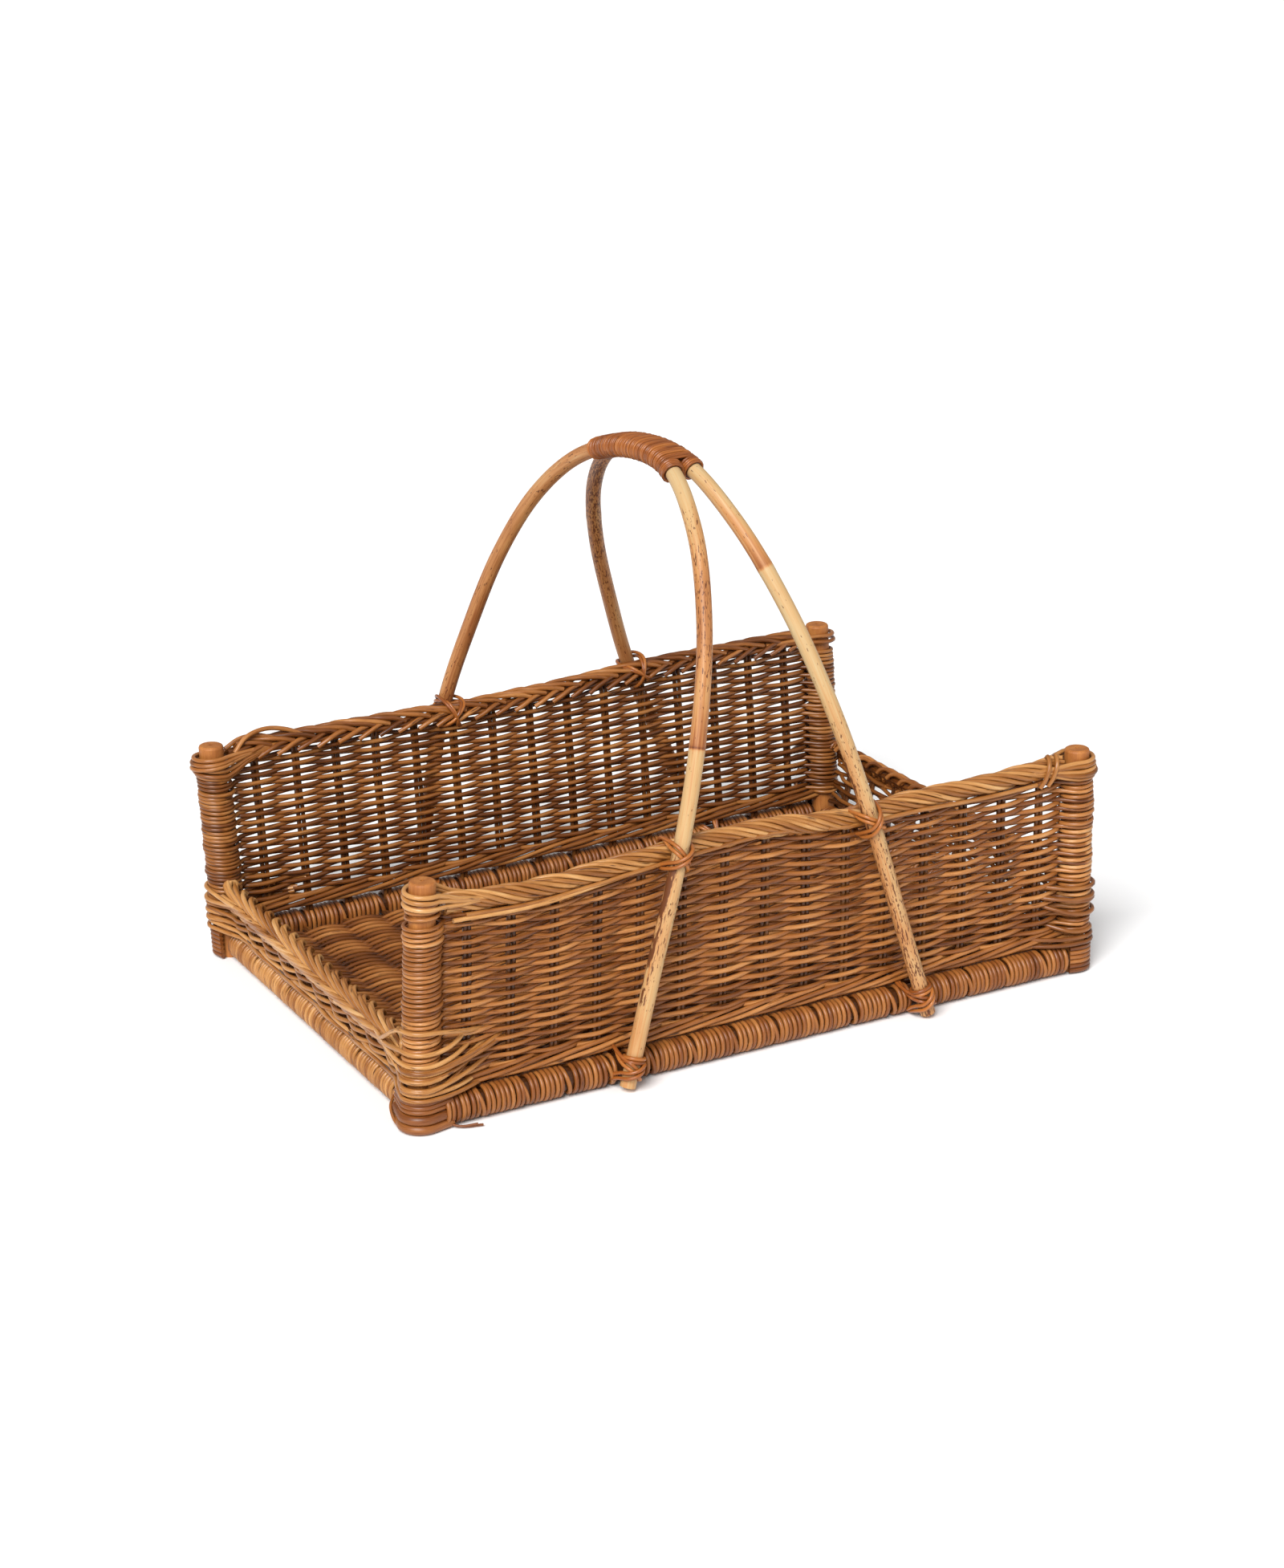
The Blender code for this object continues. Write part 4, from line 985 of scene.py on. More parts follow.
def end_rows(canes, side_x, half, top):
    """Rows that weave over the stakes. Many of them go on round both corners."""
    rows = END_ROWS[side_x]
    reach = half - ROW_MARGIN
    for row in range(rows):
        along = np.linspace(-reach, reach, 88)
        parity = 1 if row % 2 else -1
        up = END_FOOT + (top - END_FOOT) * (row + 0.5) / rows
        up = up + drift(along, 0.0007, 0.09, canes.random)
        up = up + 0.0008 * parity * np.cos(math.pi * along / END_PITCH)
        near = ease_in(1 - (half - np.abs(along)) / END_BEND)
        wave = parity * END_SWING * np.cos(math.pi * (along / END_PITCH - 0.5)) * (1 - near)
        path = on_end_wall(side_x, along, wave, up)
        ends = corner_ends(side_x, path, CORNER_REACH[side_x], (0.003, 0.012), canes.random)
        if side_x == LEFT or row % 3 == 1:
            inner = path[np.abs(along) < reach - ROW_TUCK]
            path = smooth(np.concatenate([ends[0][::-1], inner, ends[1]]), 2)
        canes.lay(respaced(path, END_SPACING), CANE, canes.random.uniform(0.1, 0.75))


def low_rows(canes, side_x, half):
    """Rows along the rail that go on round both corners."""
    for height, out in END_LOW_ROWS:
        along = np.linspace(-half + LOW_MARGIN, half - LOW_MARGIN, 90)
        wave = np.cos(math.pi * (along / END_PITCH - 0.5) + 400 * height)
        z = height + 0.0014 * wave + drift(along, 0.0007, 0.11, canes.random)
        path = over_rail(side_x, along, out + 0.0016 * wave, z)
        ends = corner_ends(side_x, path, LOW_REACH, (0.0, 0.003), canes.random)
        path = smooth(np.concatenate([ends[0][::-1], path[4:-4], ends[1]]), 2)
        canes.lay(respaced(path, END_SPACING), CANE, canes.random.uniform(0.2, 0.8))


def plait_tails(canes, side_x, half):
    """Strands that leave the plait, go round a corner and end in the long wall."""
    for side_y in (FRONT, BACK):
        corner = (side_x, side_y)
        for height, reach, climb in FRONT_LEFT_TAILS if corner == (LEFT, FRONT) else TAILS:
            z = PLAIT_HEIGHTS[side_x] + height
            end = round_corner(corner, z, reach, climb, canes.random)
            tail = np.array([half - 0.060, half - 0.042, half - 0.026]) * side_y
            up = plait_up(side_x) + np.array([-0.001, 0.000, 0.4 * height])
            start = on_end_wall(side_x, tail, np.array([0.001, 0.004, 0.006]), up)
            path = smooth(np.concatenate([start, end]), 4)
            canes.lay(respaced(path, END_SPACING), CANE, TAIL_CANE_TONE)


def end_stakes(canes, side_x, half, top):
    """Pairs of stakes, and the two strands that twist round their feet."""
    for i in range(END_STAKES):
        place = (i - (END_STAKES - 1) / 2) * END_PITCH
        for pair in (-1, 1):
            up = np.linspace(0.008, top + 0.004, 6)
            spot = on_end_wall(side_x, place + pair * STAKE_SPREAD, 0.0, up)
            canes.lay(spot, STAKE_RADIUS)
    for phase in range(2):
        along = np.linspace(-half + FOOT_MARGIN, half - FOOT_MARGIN, 120)
        angle = math.pi * (along / END_PITCH + phase)
        up = FOOT_TWIST_UP + 0.0016 * np.sin(angle)
        canes.lay(on_end_wall(side_x, along, 0.0018 * np.cos(angle), up), WALING_CANE)


def end_wall(side_x):
    where = X_NAMES[side_x]
    half = end_line(side_x)[1]
    top = plait_up(side_x) - 0.0055
    canes = Canes(61 + side_x)
    end_rows(canes, side_x, half, top)
    low_rows(canes, side_x, half)
    plait_tails(canes, side_x, half)
    # The left end wall, on the lit side, takes the paler border cane and the right one the shaded
    # copy: painted light and painted shade
    wall = canes.piece("woven_end_" + where, PLAIT if side_x == LEFT else SHADED_WEAVE, 7)
    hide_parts("weave_" + where)
    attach(wall, "root")
    canes = Canes(71 + side_x)
    end_stakes(canes, side_x, half, top)
    stakes = canes.piece("end_stake_pairs_" + where, SHADED_STAKE_CANE, 6)
    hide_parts("stakes_" + where)
    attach(stakes, "root")


end_wall(LEFT)
end_wall(RIGHT)

# %% [markdown]
# ## Borders
# The front border is a rope: canes that turn round each other with a long lay. The back border
# is a loose plait, whose strands climb its inner face, cross its top and dive again. The end
# borders are wheat-ear plaits, whose long fingers rise over both edges and dive at the middle.
# Strands from each long border go round the tops of the posts.


# %% The rope on the front wall
ROPE_LAY = 0.100
ROPE_STRANDS = 10
ROPE_RADIUS = 0.0058
ROPE_CANE = 0.00172
CORE_RADIUS = 0.0025
# Slack strands under the rope: start, end and depth below its middle
ROPE_SLACK = ((-0.255, -0.10, 0.0115), (-0.245, 0.02, 0.0085), (0.05, 0.235, 0.0095))
# A strand that dives over the rope beside the right post: back along it, towards the back, up
ROPE_STRAY = (
    (0.0, 0.0040, 0.0055), (0.002, -0.0015, 0.0092), (0.005, -0.0078, 0.0048),
    (0.009, -0.0094, -0.0050), (0.013, -0.0080, -0.0120),
)
# Strands round the top of each post: radius, start and end below the post's top, and tone
TOP_LOOPS = {
    (LEFT, FRONT): (
        (0.0126, 0.009, 0.006, 0.7), (0.0130, 0.013, 0.010, 0.5), (0.0128, 0.018, 0.015, 0.75),
    ),
    (RIGHT, FRONT): (
        (0.0124, 0.008, 0.005, 0.5), (0.0130, 0.011, 0.009, 0.3), (0.0134, 0.015, 0.011, 0.6),
        (0.0146, 0.018, 0.014, 0.2), (0.0128, 0.021, 0.018, 0.4),
    ),
    (LEFT, BACK): (
        (0.0142, 0.011, 0.008, 0.8), (0.0158, 0.015, 0.011, 0.6), (0.0138, 0.012, 0.019, 0.7),
        (0.0162, 0.021, 0.013, 0.9), (0.0132, 0.020, 0.025, 0.9), (0.0146, 0.017, 0.023, 0.4),
    ),
    (RIGHT, BACK): ((0.0128, 0.010, 0.007, 0.8), (0.0136, 0.015, 0.012, 0.5)),
}


def round_post_top(canes, corner, radius, low, high, tone):
    """A strand that comes from a border, goes round the top of a post and returns."""
    side_x, side_y = corner
    angles = np.linspace(-0.5, math.pi + 0.5, 22)
    z = np.linspace(low, high, len(angles))
    middle = path_of(
        post_x(corner, z) + side_x * radius * np.sin(angles),
        side_y * POST_Y + side_y * radius * np.cos(angles), z,
    )
    rail = border_height(side_y, side_x * (POST_X - 0.04))
    tails = []
    for face, (x, _, height) in ((1, middle[0]), (-1, middle[-1])):
        beside = [x - side_x * 0.018, side_y * (POST_Y + face * 0.0078), (height + rail) / 2]
        inside = [x - side_x * 0.046, side_y * (POST_Y + face * 0.0030), rail]
        tails.append([inside, beside])
    path = np.concatenate([tails[0], middle, tails[1][::-1]])
    canes.lay(respaced(smooth(path, 2), 0.003), CANE, tone)


def top_loops(canes, side_y):
    """The strands round the tops of a long wall's two posts."""
    for side_x in (LEFT, RIGHT):
        corner = (side_x, side_y)
        for radius, low, high, tone in TOP_LOOPS[corner]:
            top = POST_HEIGHTS[corner]
            round_post_top(canes, corner, radius, top - low, top - high, tone)


def rope_border():
    canes = Canes(81)
    line = BORDER_LINES[FRONT]
    x = np.linspace(line[0, 0] - 0.004, line[-1, 0] + 0.004, 200)
    z = border_height(FRONT, x)
    for strand in range(ROPE_STRANDS):
        turn = math.tau * (x / ROPE_LAY + strand / ROPE_STRANDS)
        out = ROPE_RADIUS + 0.0007 * math.cos(3 * math.tau * strand / ROPE_STRANDS)
        out = out + drift(x, 0.0004, 0.16, canes.random)
        canes.lay(
            path_of(x, -POST_Y + out * np.cos(turn), z + out * np.sin(turn)),
            ROPE_CANE, canes.random.uniform(0.05, 0.75),
        )
    for core in range(3):
        turn = math.tau * (x / ROPE_LAY + core / 3)
        canes.lay(path_of(
            x, -POST_Y + CORE_RADIUS * np.cos(turn), z + CORE_RADIUS * np.sin(turn),
        ), CORE_RADIUS, 0.0)
    for start, end, drop in ROPE_SLACK:
        x = np.linspace(start, end, 50)
        share = np.linspace(0, 1, 50)
        low = drop - 0.006 * share if start < 0 else 0.0035 + 0.006 * share
        y = -POST_Y - 0.0050 - 0.002 * np.sin(math.pi * share)
        canes.lay(path_of(x, y, border_height(FRONT, x) - low), ROPE_CANE)
    top_loops(canes, FRONT)
    for start in (0.256, 0.249):
        canes.lay(smooth([
            (start - along, -POST_Y + y, border_height(FRONT, start) + rise)
            for along, y, rise in ROPE_STRAY
        ], 8), ROPE_CANE, 0.3)
    border = canes.piece("rope_border_front", PLAIT, 8)
    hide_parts("border_front")
    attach(border, "root")


rope_border()


# %% The wheat-ear plaits of the end walls
EAR_PITCH = 0.0166
EAR_WIDTHS = {-1: 0.0098, 1: 0.0058}
EAR_TILT = math.radians(46)
EAR_CORE_RADIUS = 0.0024
EAR_CORE_DEPTH = 0.0026
# Stations of a finger: share of its length, share of the plait's half width, and lift
INNER_FINGER = (
    (0.0, 0.84, -0.0040), (0.05, 0.99, -0.0006), (0.13, 0.95, 0.0021), (0.34, 0.66, 0.0034),
    (0.62, 0.30, 0.0030), (0.86, 0.02, 0.0006), (1.0, -0.12, -0.0022),
)
OUTER_FINGER = (
    (0.0, 0.84, -0.0042), (0.14, 1.02, -0.0024), (0.32, 0.96, 0.0002), (0.54, 0.68, 0.0018),
    (0.78, 0.34, 0.0017), (0.93, 0.10, -0.0006), (1.0, 0.0, -0.0022),
)
# Tiers: edge, stations, length, shift along, shift to the edge and drop
EAR_TIERS = (
    (-1, INNER_FINGER, 0.056, 0.0, 0.0, 0.0), (-1, INNER_FINGER, 0.036, 0.0083, 0.0010, 0.0021),
    (1, OUTER_FINGER, 0.074, 0.0040, 0.0, 0.0), (1, OUTER_FINGER, 0.060, 0.0123, 0.0010, 0.0014),
)


def ear_plait(canes, line, across, up):
    """Long fingers that rise over both edges by turns and dive at the middle, towards the front."""
    along = lengths_along(line)
    for edge, stations, reach, shift, aside, drop in EAR_TIERS:
        share, side, lift = np.array(stations).T
        for start in np.arange(shift - 0.004, along[-1] + 0.008, EAR_PITCH):
            start = start + canes.random.uniform(-0.0010, 0.0010)
            length = reach * canes.random.uniform(0.92, 1.10)
            place = np.clip(start + length * (0.45 - share), -0.006, along[-1] + 0.006)
            width = EAR_WIDTHS[edge] * canes.random.uniform(0.95, 1.05)
            sideways = edge * (side * width + aside)
            rise = lift - drop - 0.0008
            path = sampled(line, along, place) + np.outer(sideways, across) + np.outer(rise, up)
            canes.lay(smooth(path, 3), canes.random.uniform(0.0016, 0.0019))
    for side in (-0.0040, 0.0, 0.0040):
        canes.lay(line + across * side - up * EAR_CORE_DEPTH, EAR_CORE_RADIUS, 0.05)


for side_x in (LEFT, RIGHT):
    canes = Canes(91 + side_x)
    half = end_line(side_x)[1]
    along = np.linspace(-half + ROW_MARGIN, half - ROW_MARGIN, 260)
    line = on_end_wall(side_x, along, 0.0, plait_up(side_x))
    basis = on_end_wall(side_x, np.zeros(3), np.array([0, 1, 0.0]), np.array([0, 0, 1.0]))
    outward, upward = basis[1] - basis[0], basis[2] - basis[0]
    ear_plait(
        canes, line, outward * math.cos(EAR_TILT) - upward * math.sin(EAR_TILT),
        upward * math.cos(EAR_TILT) + outward * math.sin(EAR_TILT),
    )
    # The left plait, on the lit side, takes the paler border cane and the right one the darker
    # woven cane: painted light and painted shade
    border = canes.piece("plait_" + X_NAMES[side_x], PLAIT if side_x == LEFT else WEAVE, 8)
    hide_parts("border_" + X_NAMES[side_x])
    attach(border, "root")

# %% The loose plait of the back wall
BACK_PLAIT_PITCH = LONG_PITCH / 2
BACK_CANE = 0.0019
BACK_CORE_RADIUS = 0.0022
# Stations of a strand: along, towards the back and up, in millimetres
BACK_ROUTE = (
    (0, -6.0, -7.4), (8, -6.8, -3.4), (17, -6.0, 0.4), (26, -2.8, 1.6), (35, 1.8, 2.2),
    (44, 4.8, 3.6), (54, 5.3, 5.0), (63, 3.4, 5.6), (71, 0.4, 5.4), (80, -2.8, 4.9),
    (89, -4.8, 3.7), (98, -4.2, 0.6),
)
# Two slack strands beside the left post: x, towards the back, and above the border's middle
LOOSE_ARCS = (
    ((-0.258, -0.006, 0.000), (-0.248, -0.003, 0.009), (-0.230, 0.001, 0.0125),
     (-0.212, 0.002, 0.009), (-0.198, 0.000, 0.003)),
    ((-0.262, 0.004, 0.001), (-0.250, 0.004, 0.007), (-0.236, 0.003, 0.008),
     (-0.220, 0.000, 0.003)),
)


def back_border():
    """Strands that climb the inner face, lie along the back edge, cross the top and dive again."""
    canes = Canes(95)
    low, high = BORDER_LINES[BACK][0, 0] - 0.006, BORDER_LINES[BACK][-1, 0] + 0.006
    route = np.array(BACK_ROUTE) / 1000
    for start in np.arange(low - route[-1, 0], high, BACK_PLAIT_PITCH):
        stretch = canes.random.uniform(0.95, 1.06)
        x = start + canes.random.uniform(-0.0015, 0.0015) + route[:, 0] * stretch
        keep = (x > low) & (x < high)
        if keep.sum() < 3:
            continue
        y = POST_Y + route[:, 1] + canes.random.uniform(-0.0005, 0.0005, len(x))
        z = border_height(BACK, x) + route[:, 2] + canes.random.uniform(-0.0005, 0.0005, len(x))
        path = smooth(path_of(x, y, z)[keep], 4)
        canes.lay(respaced(path, 0.003), BACK_CANE * canes.random.uniform(0.92, 1.06))
    x = np.linspace(low, high, 90)
    for side, drop in ((-0.003, 0.003), (0.003, 0.002), (0.0, 0.001)):
        canes.lay(path_of(x, POST_Y + side, border_height(BACK, x) - drop), BACK_CORE_RADIUS, 0.2)
    top_loops(canes, BACK)
    for knots in LOOSE_ARCS:
        path = [(x, POST_Y + y, border_height(BACK, x) + rise) for x, y, rise in knots]
        canes.lay(smooth(path, 8), BACK_CANE, 0.8)
    border = canes.piece("plait_back", WEAVE, 8)
    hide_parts("border_back")
    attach(border, "root")


back_border()

# %% [markdown]
# ## The handle
# Two rods of peeled rattan are bent side by side. Their skin is cream, with brown speckles and
# streaks along the rod, and rings where a leaf once grew. The rods are drawn as long tubes, with
# a tone along each that says where the skin is pale and where it is brown.


# %% The rods' finish
def rod_finish():
    """Cream skin with brown clouds and dark flecks, and bark left along one side."""
    material, graph, shader = new_finish("handle rattan")
    grain = shade_attribute(graph, "grain", "Vector")
    fibres = noise(graph, grain, (24, 900, 900), 5)
    clouds = noise(graph, grain, (16, 95, 95), 3)
    sideways = graph.add("ShaderNodeSeparateXYZ", {}, {0: grain}, 2) * (-1 / ROD_RADIUS)
    barked = shade_attribute(graph, "bark") * sideways
    shade = shade_attribute(graph, "tone") * 0.84 + clouds * 0.62 + fibres * 0.66
    colour = ramp(graph, (
        (0, (0.53, 0.385, 0.200)), (0.22, (0.53, 0.325, 0.140)), (0.46, (0.47, 0.205, 0.066)),
        (0.74, (0.27, 0.083, 0.020)), (1, (0.10, 0.026, 0.007)),
    ), shade + barked * 0.16 - 0.60)
    flecks = noise(graph, grain, (280, 900, 900), 4) * 0.6
    dashes = noise(graph, grain, (110, 820, 820), 2) * 0.4
    level = (flecks + dashes + shade_attribute(graph, "speckle") * 0.10 - 0.662) * 26
    peeling = (barked + noise(graph, grain, (90, 430, 430), 5) * 2.0 - 1.79) * 8
    level = level.maths("MAXIMUM", peeling)
    colour = stained(graph, colour, level, 0.92, (0.100, 0.024, 0.006))
    relief = fibres * 0.5 + clouds * 0.5
    surface(graph, shader, colour, 0.38 + fibres * 0.22, relief, 0.25, 0.0005, 0.40)
    return material


ROD = rod_finish()

# %% The two rods
# Each row: share of the rod's length from its front foot, tone, speckle and bark
ROD_MARKS = {
    LEFT: (
        (0.00, 0.36, 0.2, 0.2), (0.04, 0.30, 0.3, 0.3), (0.07, 0.22, 0.7, 0.9),
        (0.15, 0.20, 0.9, 1.1), (0.17, 0.14, 0.5, 0.5), (0.236, 0.12, 0.2, 0.0),
        (0.2375, 0.95, 0.3, 0.0), (0.2395, 0.66, 0.3, -0.3), (0.27, 0.56, 0.6, -0.6),
        (0.30, 0.64, 1.2, -0.4), (0.35, 0.58, 1.1, -0.5), (0.39, 0.34, 0.9, -0.4),
        (0.42, 0.10, 0.3, 0.0), (0.53, 0.02, 0.1, 0.0), (0.544, 0.02, 0.1, 0.0),
        (0.546, 0.66, 0.4, -0.2), (0.60, 0.56, 1.0, -0.3), (0.65, 0.50, 0.7, -0.5),
        (0.70, 0.68, 0.6, -0.6), (0.80, 0.74, 0.8, -0.8), (0.85, 0.72, 1.2, -0.8),
        (1.00, 0.80, 0.6, 0.0),
    ),
    RIGHT: (
        (0.00, 0.46, 1.4, 0.0), (0.05, 0.42, 1.4, 0.1), (0.13, 0.38, 1.2, 0.1),
        (0.15, 0.36, 0.9, 0.8), (0.205, 0.28, 1.1, 0.9), (0.235, 0.14, 0.6, 0.2),
        (0.30, 0.08, 0.2, 0.0), (0.325, 0.16, 0.1, 0.0), (0.344, 0.04, 0.0, 0.0),
        (0.346, 0.62, 0.4, 0.4), (0.37, 0.36, 0.5, 0.3), (0.40, 0.16, 0.6, 0.2),
        (0.44, 0.10, 0.6, 0.0), (0.53, 0.46, 0.8, 0.0), (0.58, 0.60, 1.9, 0.0),
        (0.68, 0.60, 1.6, 0.3), (0.76, 0.52, 0.9, 0.2), (0.84, 0.48, 0.4, 0.2),
        (1.00, 0.52, 0.4, 0.0),
    ),
}
ROD_NODES = {LEFT: (0.2385, 0.545), RIGHT: (0.345, 0.66)}
for side_x in (LEFT, RIGHT):
    canes = Canes(101 + side_x)
    path = respaced(hoop_line(side_x), 0.0016)
    share = np.linspace(0, 1, len(path))
    marks = np.array(ROD_MARKS[side_x]).T
    tone, speckle, bark = (np.interp(share, marks[0], row) for row in marks[1:])
    swell = sum(0.035 * np.exp(-(((share - node) / 0.006) ** 2)) for node in ROD_NODES[side_x])
    radius = ROD_RADIUS * (0.985 + drift(share, 0.010, 0.31, canes.random) + swell)
    canes.lay(path, radius, tone, speckle=speckle, bark=-side_x * bark)
    rod = canes.piece("handle_rod_" + X_NAMES[side_x], ROD, 20)
    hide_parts("handle_hoop_" + X_NAMES[side_x])
    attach(rod, "root")

# %% The binding of the grip
GRIP_CENTRE_Y = -0.024
GRIP_LENGTH = 0.110
GRIP_TURNS = 42
GRIP_CANE = 0.00112
# Tone of a dark tube round each rod under the turns, which paints the shade between them
GRIP_SHADE_TONE = -0.5
GRIP_RING = 0.0077
SPLIT_LENGTH = 0.008
SPLIT_TURNS = 4


def grip():
    """Turns round both rods, a few round each rod alone at the front end, and a dark tube under
    them for painted shade between the turns.
    """
    canes = Canes(111)
    rods = {side: hoop_line(side) for side in (LEFT, RIGHT)}
    middle = (rods[LEFT] + rods[RIGHT]) / 2
    half = (rods[RIGHT][:, 0] - rods[LEFT][:, 0]) / 2
    along = lengths_along(middle)
    front = along[np.argmin(np.abs(ARCH[:, 0] - GRIP_CENTRE_Y))] - GRIP_LENGTH / 2

    def turns(places, line, count, width):
        share = np.linspace(0, 1, len(places))
        spot = sampled(line, along, places)
        ahead = sampled(line, along, places + 0.001)
        forward = (ahead - spot) / np.linalg.norm(ahead - spot, axis=1)[:, None]
        across = np.array([1, 0, 0]) - forward * forward[:, :1]
        across /= np.linalg.norm(across, axis=1)[:, None]
        up = np.cross(across, forward)
        angle = share * count * math.tau
        ring = GRIP_RING + 0.0003 * np.sin(angle * 0.37)
        out = ring * np.cos(angle) + width * np.tanh(3 * np.cos(angle))
        path = spot + across * out[:, None] + up * (ring * np.sin(angle))[:, None]
        tone = np.repeat(canes.random.uniform(0.15, 0.75, count + 1), len(places) // count + 1)
        canes.lay(path, GRIP_CANE, tone[: len(places)])

    places = np.linspace(front + SPLIT_LENGTH, front + GRIP_LENGTH - GRIP_CANE, GRIP_TURNS * 20)
    turns(places, middle, GRIP_TURNS, np.interp(places, along, half))
    places = np.linspace(front + GRIP_CANE, front + SPLIT_LENGTH, SPLIT_TURNS * 16)
    shade_tube_places = np.linspace(front + GRIP_CANE, front + GRIP_LENGTH - GRIP_CANE, 60)
    for side in (LEFT, RIGHT):
        turns(places, rods[side], SPLIT_TURNS, 0 * places)
        # A dark tube round the rod, which shows between the turns as painted shade
        canes.lay(sampled(rods[side], along, shade_tube_places), GRIP_RING - 0.0005, GRIP_SHADE_TONE)
    binding = canes.piece("grip_turns", LASHING, 7)
    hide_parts("grip_binding")
    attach(binding, "root")


grip()

# %% [markdown]
# ## Lashings
# Each leg is tied where it crosses the border and again at its foot. A doubled strand crosses
# over the leg in an X and passes round the border or the rail behind it.


# %% Eight lashings
LASHING_CANE = 0.0014
DOUBLE = 1.45 * LASHING_CANE
FOOT_RING = 0.0128
LOWEST = LASHING_CANE + 0.0002


def lashing(corner, anchor, ring, spread, wraps, name, node):
    """Doubled loops that cross over a leg and go round the border or rail behind it."""
    side_x, side_y = corner
    canes = Canes(121 + side_x + 3 * side_y + 10 * wraps)
    leg = leg_at(side_x, side_y, anchor[1] + 0.002 * wraps)
    v = leg_at(side_x, side_y, anchor[1] + 0.005) - leg_at(side_x, side_y, anchor[1] - 0.005)
    v /= np.linalg.norm(v)
    u = np.array([1, 0, 0]) - v * v[0]
    u /= np.linalg.norm(u)
    w = np.array([0, side_y, 0]) - v * side_y * v[1]
    w /= np.linalg.norm(w)
    back = -abs(leg[1] - anchor[0])
    front = ROD_RADIUS + LASHING_CANE
    side = front + 0.0006

    def lay(knots):
        path = looped(leg + np.array(knots) @ np.array([u, v, w]), 6)
        path[:, 2] = np.maximum(path[:, 2], LOWEST)
        canes.lay(path, LASHING_CANE, closed=True)

    for cross in (1, -1):
        over = 0.0 if cross == 1 else 2 * LASHING_CANE
        hip = front * 0.86 + over * 0.6
        for strand in (-1, 1):
            shift = strand * DOUBLE
            lifts = ((-1, 0.0), (-0.55, hip), (0, front + over), (0.55, hip), (1, 0.0))
            knots = [
                (cross * share * side, shift - share * ring * spread, height)
                for share, height in lifts
            ]
            slide = cross * (side + shift * 0.9 + 0.0008)
            for angle in (25, 70, 110, 155):
                turn = math.radians(angle)
                share = (90 - angle) / 90
                knots.append((slide * share, -ring * math.cos(turn), back - ring * math.sin(turn)))
            lay(knots)
    for wrap in range(wraps):
        height = 0.0060 + wrap * 2 * LASHING_CANE
        lay([
            (front * math.cos(a), height + 0.0008 * math.sin(a), front * math.sin(a))
            for a in np.arange(8) * math.tau / 8
        ])
    ties = canes.piece(name + corner_name(corner), LASHING, 8)
    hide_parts(node)
    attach(ties, "root")


for corner in CORNERS:
    side_x, side_y = corner
    crossing = float(border_height(side_y, leg_at(side_x, side_y, HANDLE_CROSSING)[0]))
    for anchor, ring, spread, wraps, what in (
        ((side_y * POST_Y, crossing), BORDER_RADIUS + 0.0022, 0.75, 0, "border"),
        ((side_y * LONG_RAIL_Y, RAIL_RADIUS), FOOT_RING, 0.40, 2, "foot"),
    ):
        node = f"lashing_{what}_{corner_name(corner)}"
        lashing(corner, anchor, ring, spread, wraps, what + "_ties_", node)

# %% [markdown]
# ## Corners
# The posts are sawn rods with a pith hole in their end grain. At their feet the base rods are
# bent round the corner: two thick ones at the front left, and turns of cane at the others.


# %% Posts
def post_finish():
    material, graph, shader = new_finish("post rattan")
    place = graph.add("ShaderNodeTexCoord", output="Object")
    fibres = noise(graph, place, (900, 900, 40), 4)
    clouds = noise(graph, place, (130, 130, 60), 3)
    colour = ramp(graph, (
        (0, (0.14, 0.036, 0.006)), (0.45, (0.36, 0.118, 0.022)), (0.7, (0.52, 0.200, 0.042)),
        (1, (0.62, 0.30, 0.085)),
    ), clouds * 0.65 + fibres * 0.35)
    surface(graph, shader, colour, 0.5 + fibres * 0.2, fibres, 0.4, 0.0004)
    return material


POST = post_finish()
POST_SIDES = 32
PITH_DEPTH = 0.006


def turned_post(corner):
    """A rod with a rounded top edge and a small pith hole, leaning as its corner does."""
    height = POST_HEIGHTS[corner]
    # Radius and height, from the floor of the pith hole over the edge to the post's foot
    rings = [
        (0.0, height - PITH_DEPTH), (0.0011, height - PITH_DEPTH), (0.0014, height),
        (0.0080, height),
        (0.0090, height - 0.0006), (POST_RADIUS, height - 0.0018), (POST_RADIUS, 0.0), (0.0, 0.0),
    ]
    angles = np.arange(POST_SIDES) * math.tau / POST_SIDES
    points, faces = [], []
    for radius, z in rings:
        x = post_x(corner, z)
        points += [
            (x + radius * math.cos(a), corner[1] * POST_Y + radius * math.sin(a), z) for a in angles
        ]
    for i in range(len(rings) - 1):
        for k in range(POST_SIDES):
            a, b = i * POST_SIDES + k, i * POST_SIDES + (k + 1) % POST_SIDES
            faces.append((a, a + POST_SIDES, b + POST_SIDES, b))
    mesh = bpy.data.meshes.new("post")
    mesh.from_pydata(points, [], faces)
    shape = bmesh.new()
    shape.from_mesh(mesh)
    bmesh.ops.remove_doubles(shape, verts=shape.verts, dist=0.00001)
    bmesh.ops.recalc_face_normals(shape, faces=shape.faces)
    shape.to_mesh(mesh)
    shape.free()
    mesh.materials.append(POST)
    post = linked("sawn_post_" + corner_name(corner), mesh)
    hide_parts("post_" + corner_name(corner))
    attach(post, "root")


for corner in CORNERS:
    turned_post(corner)


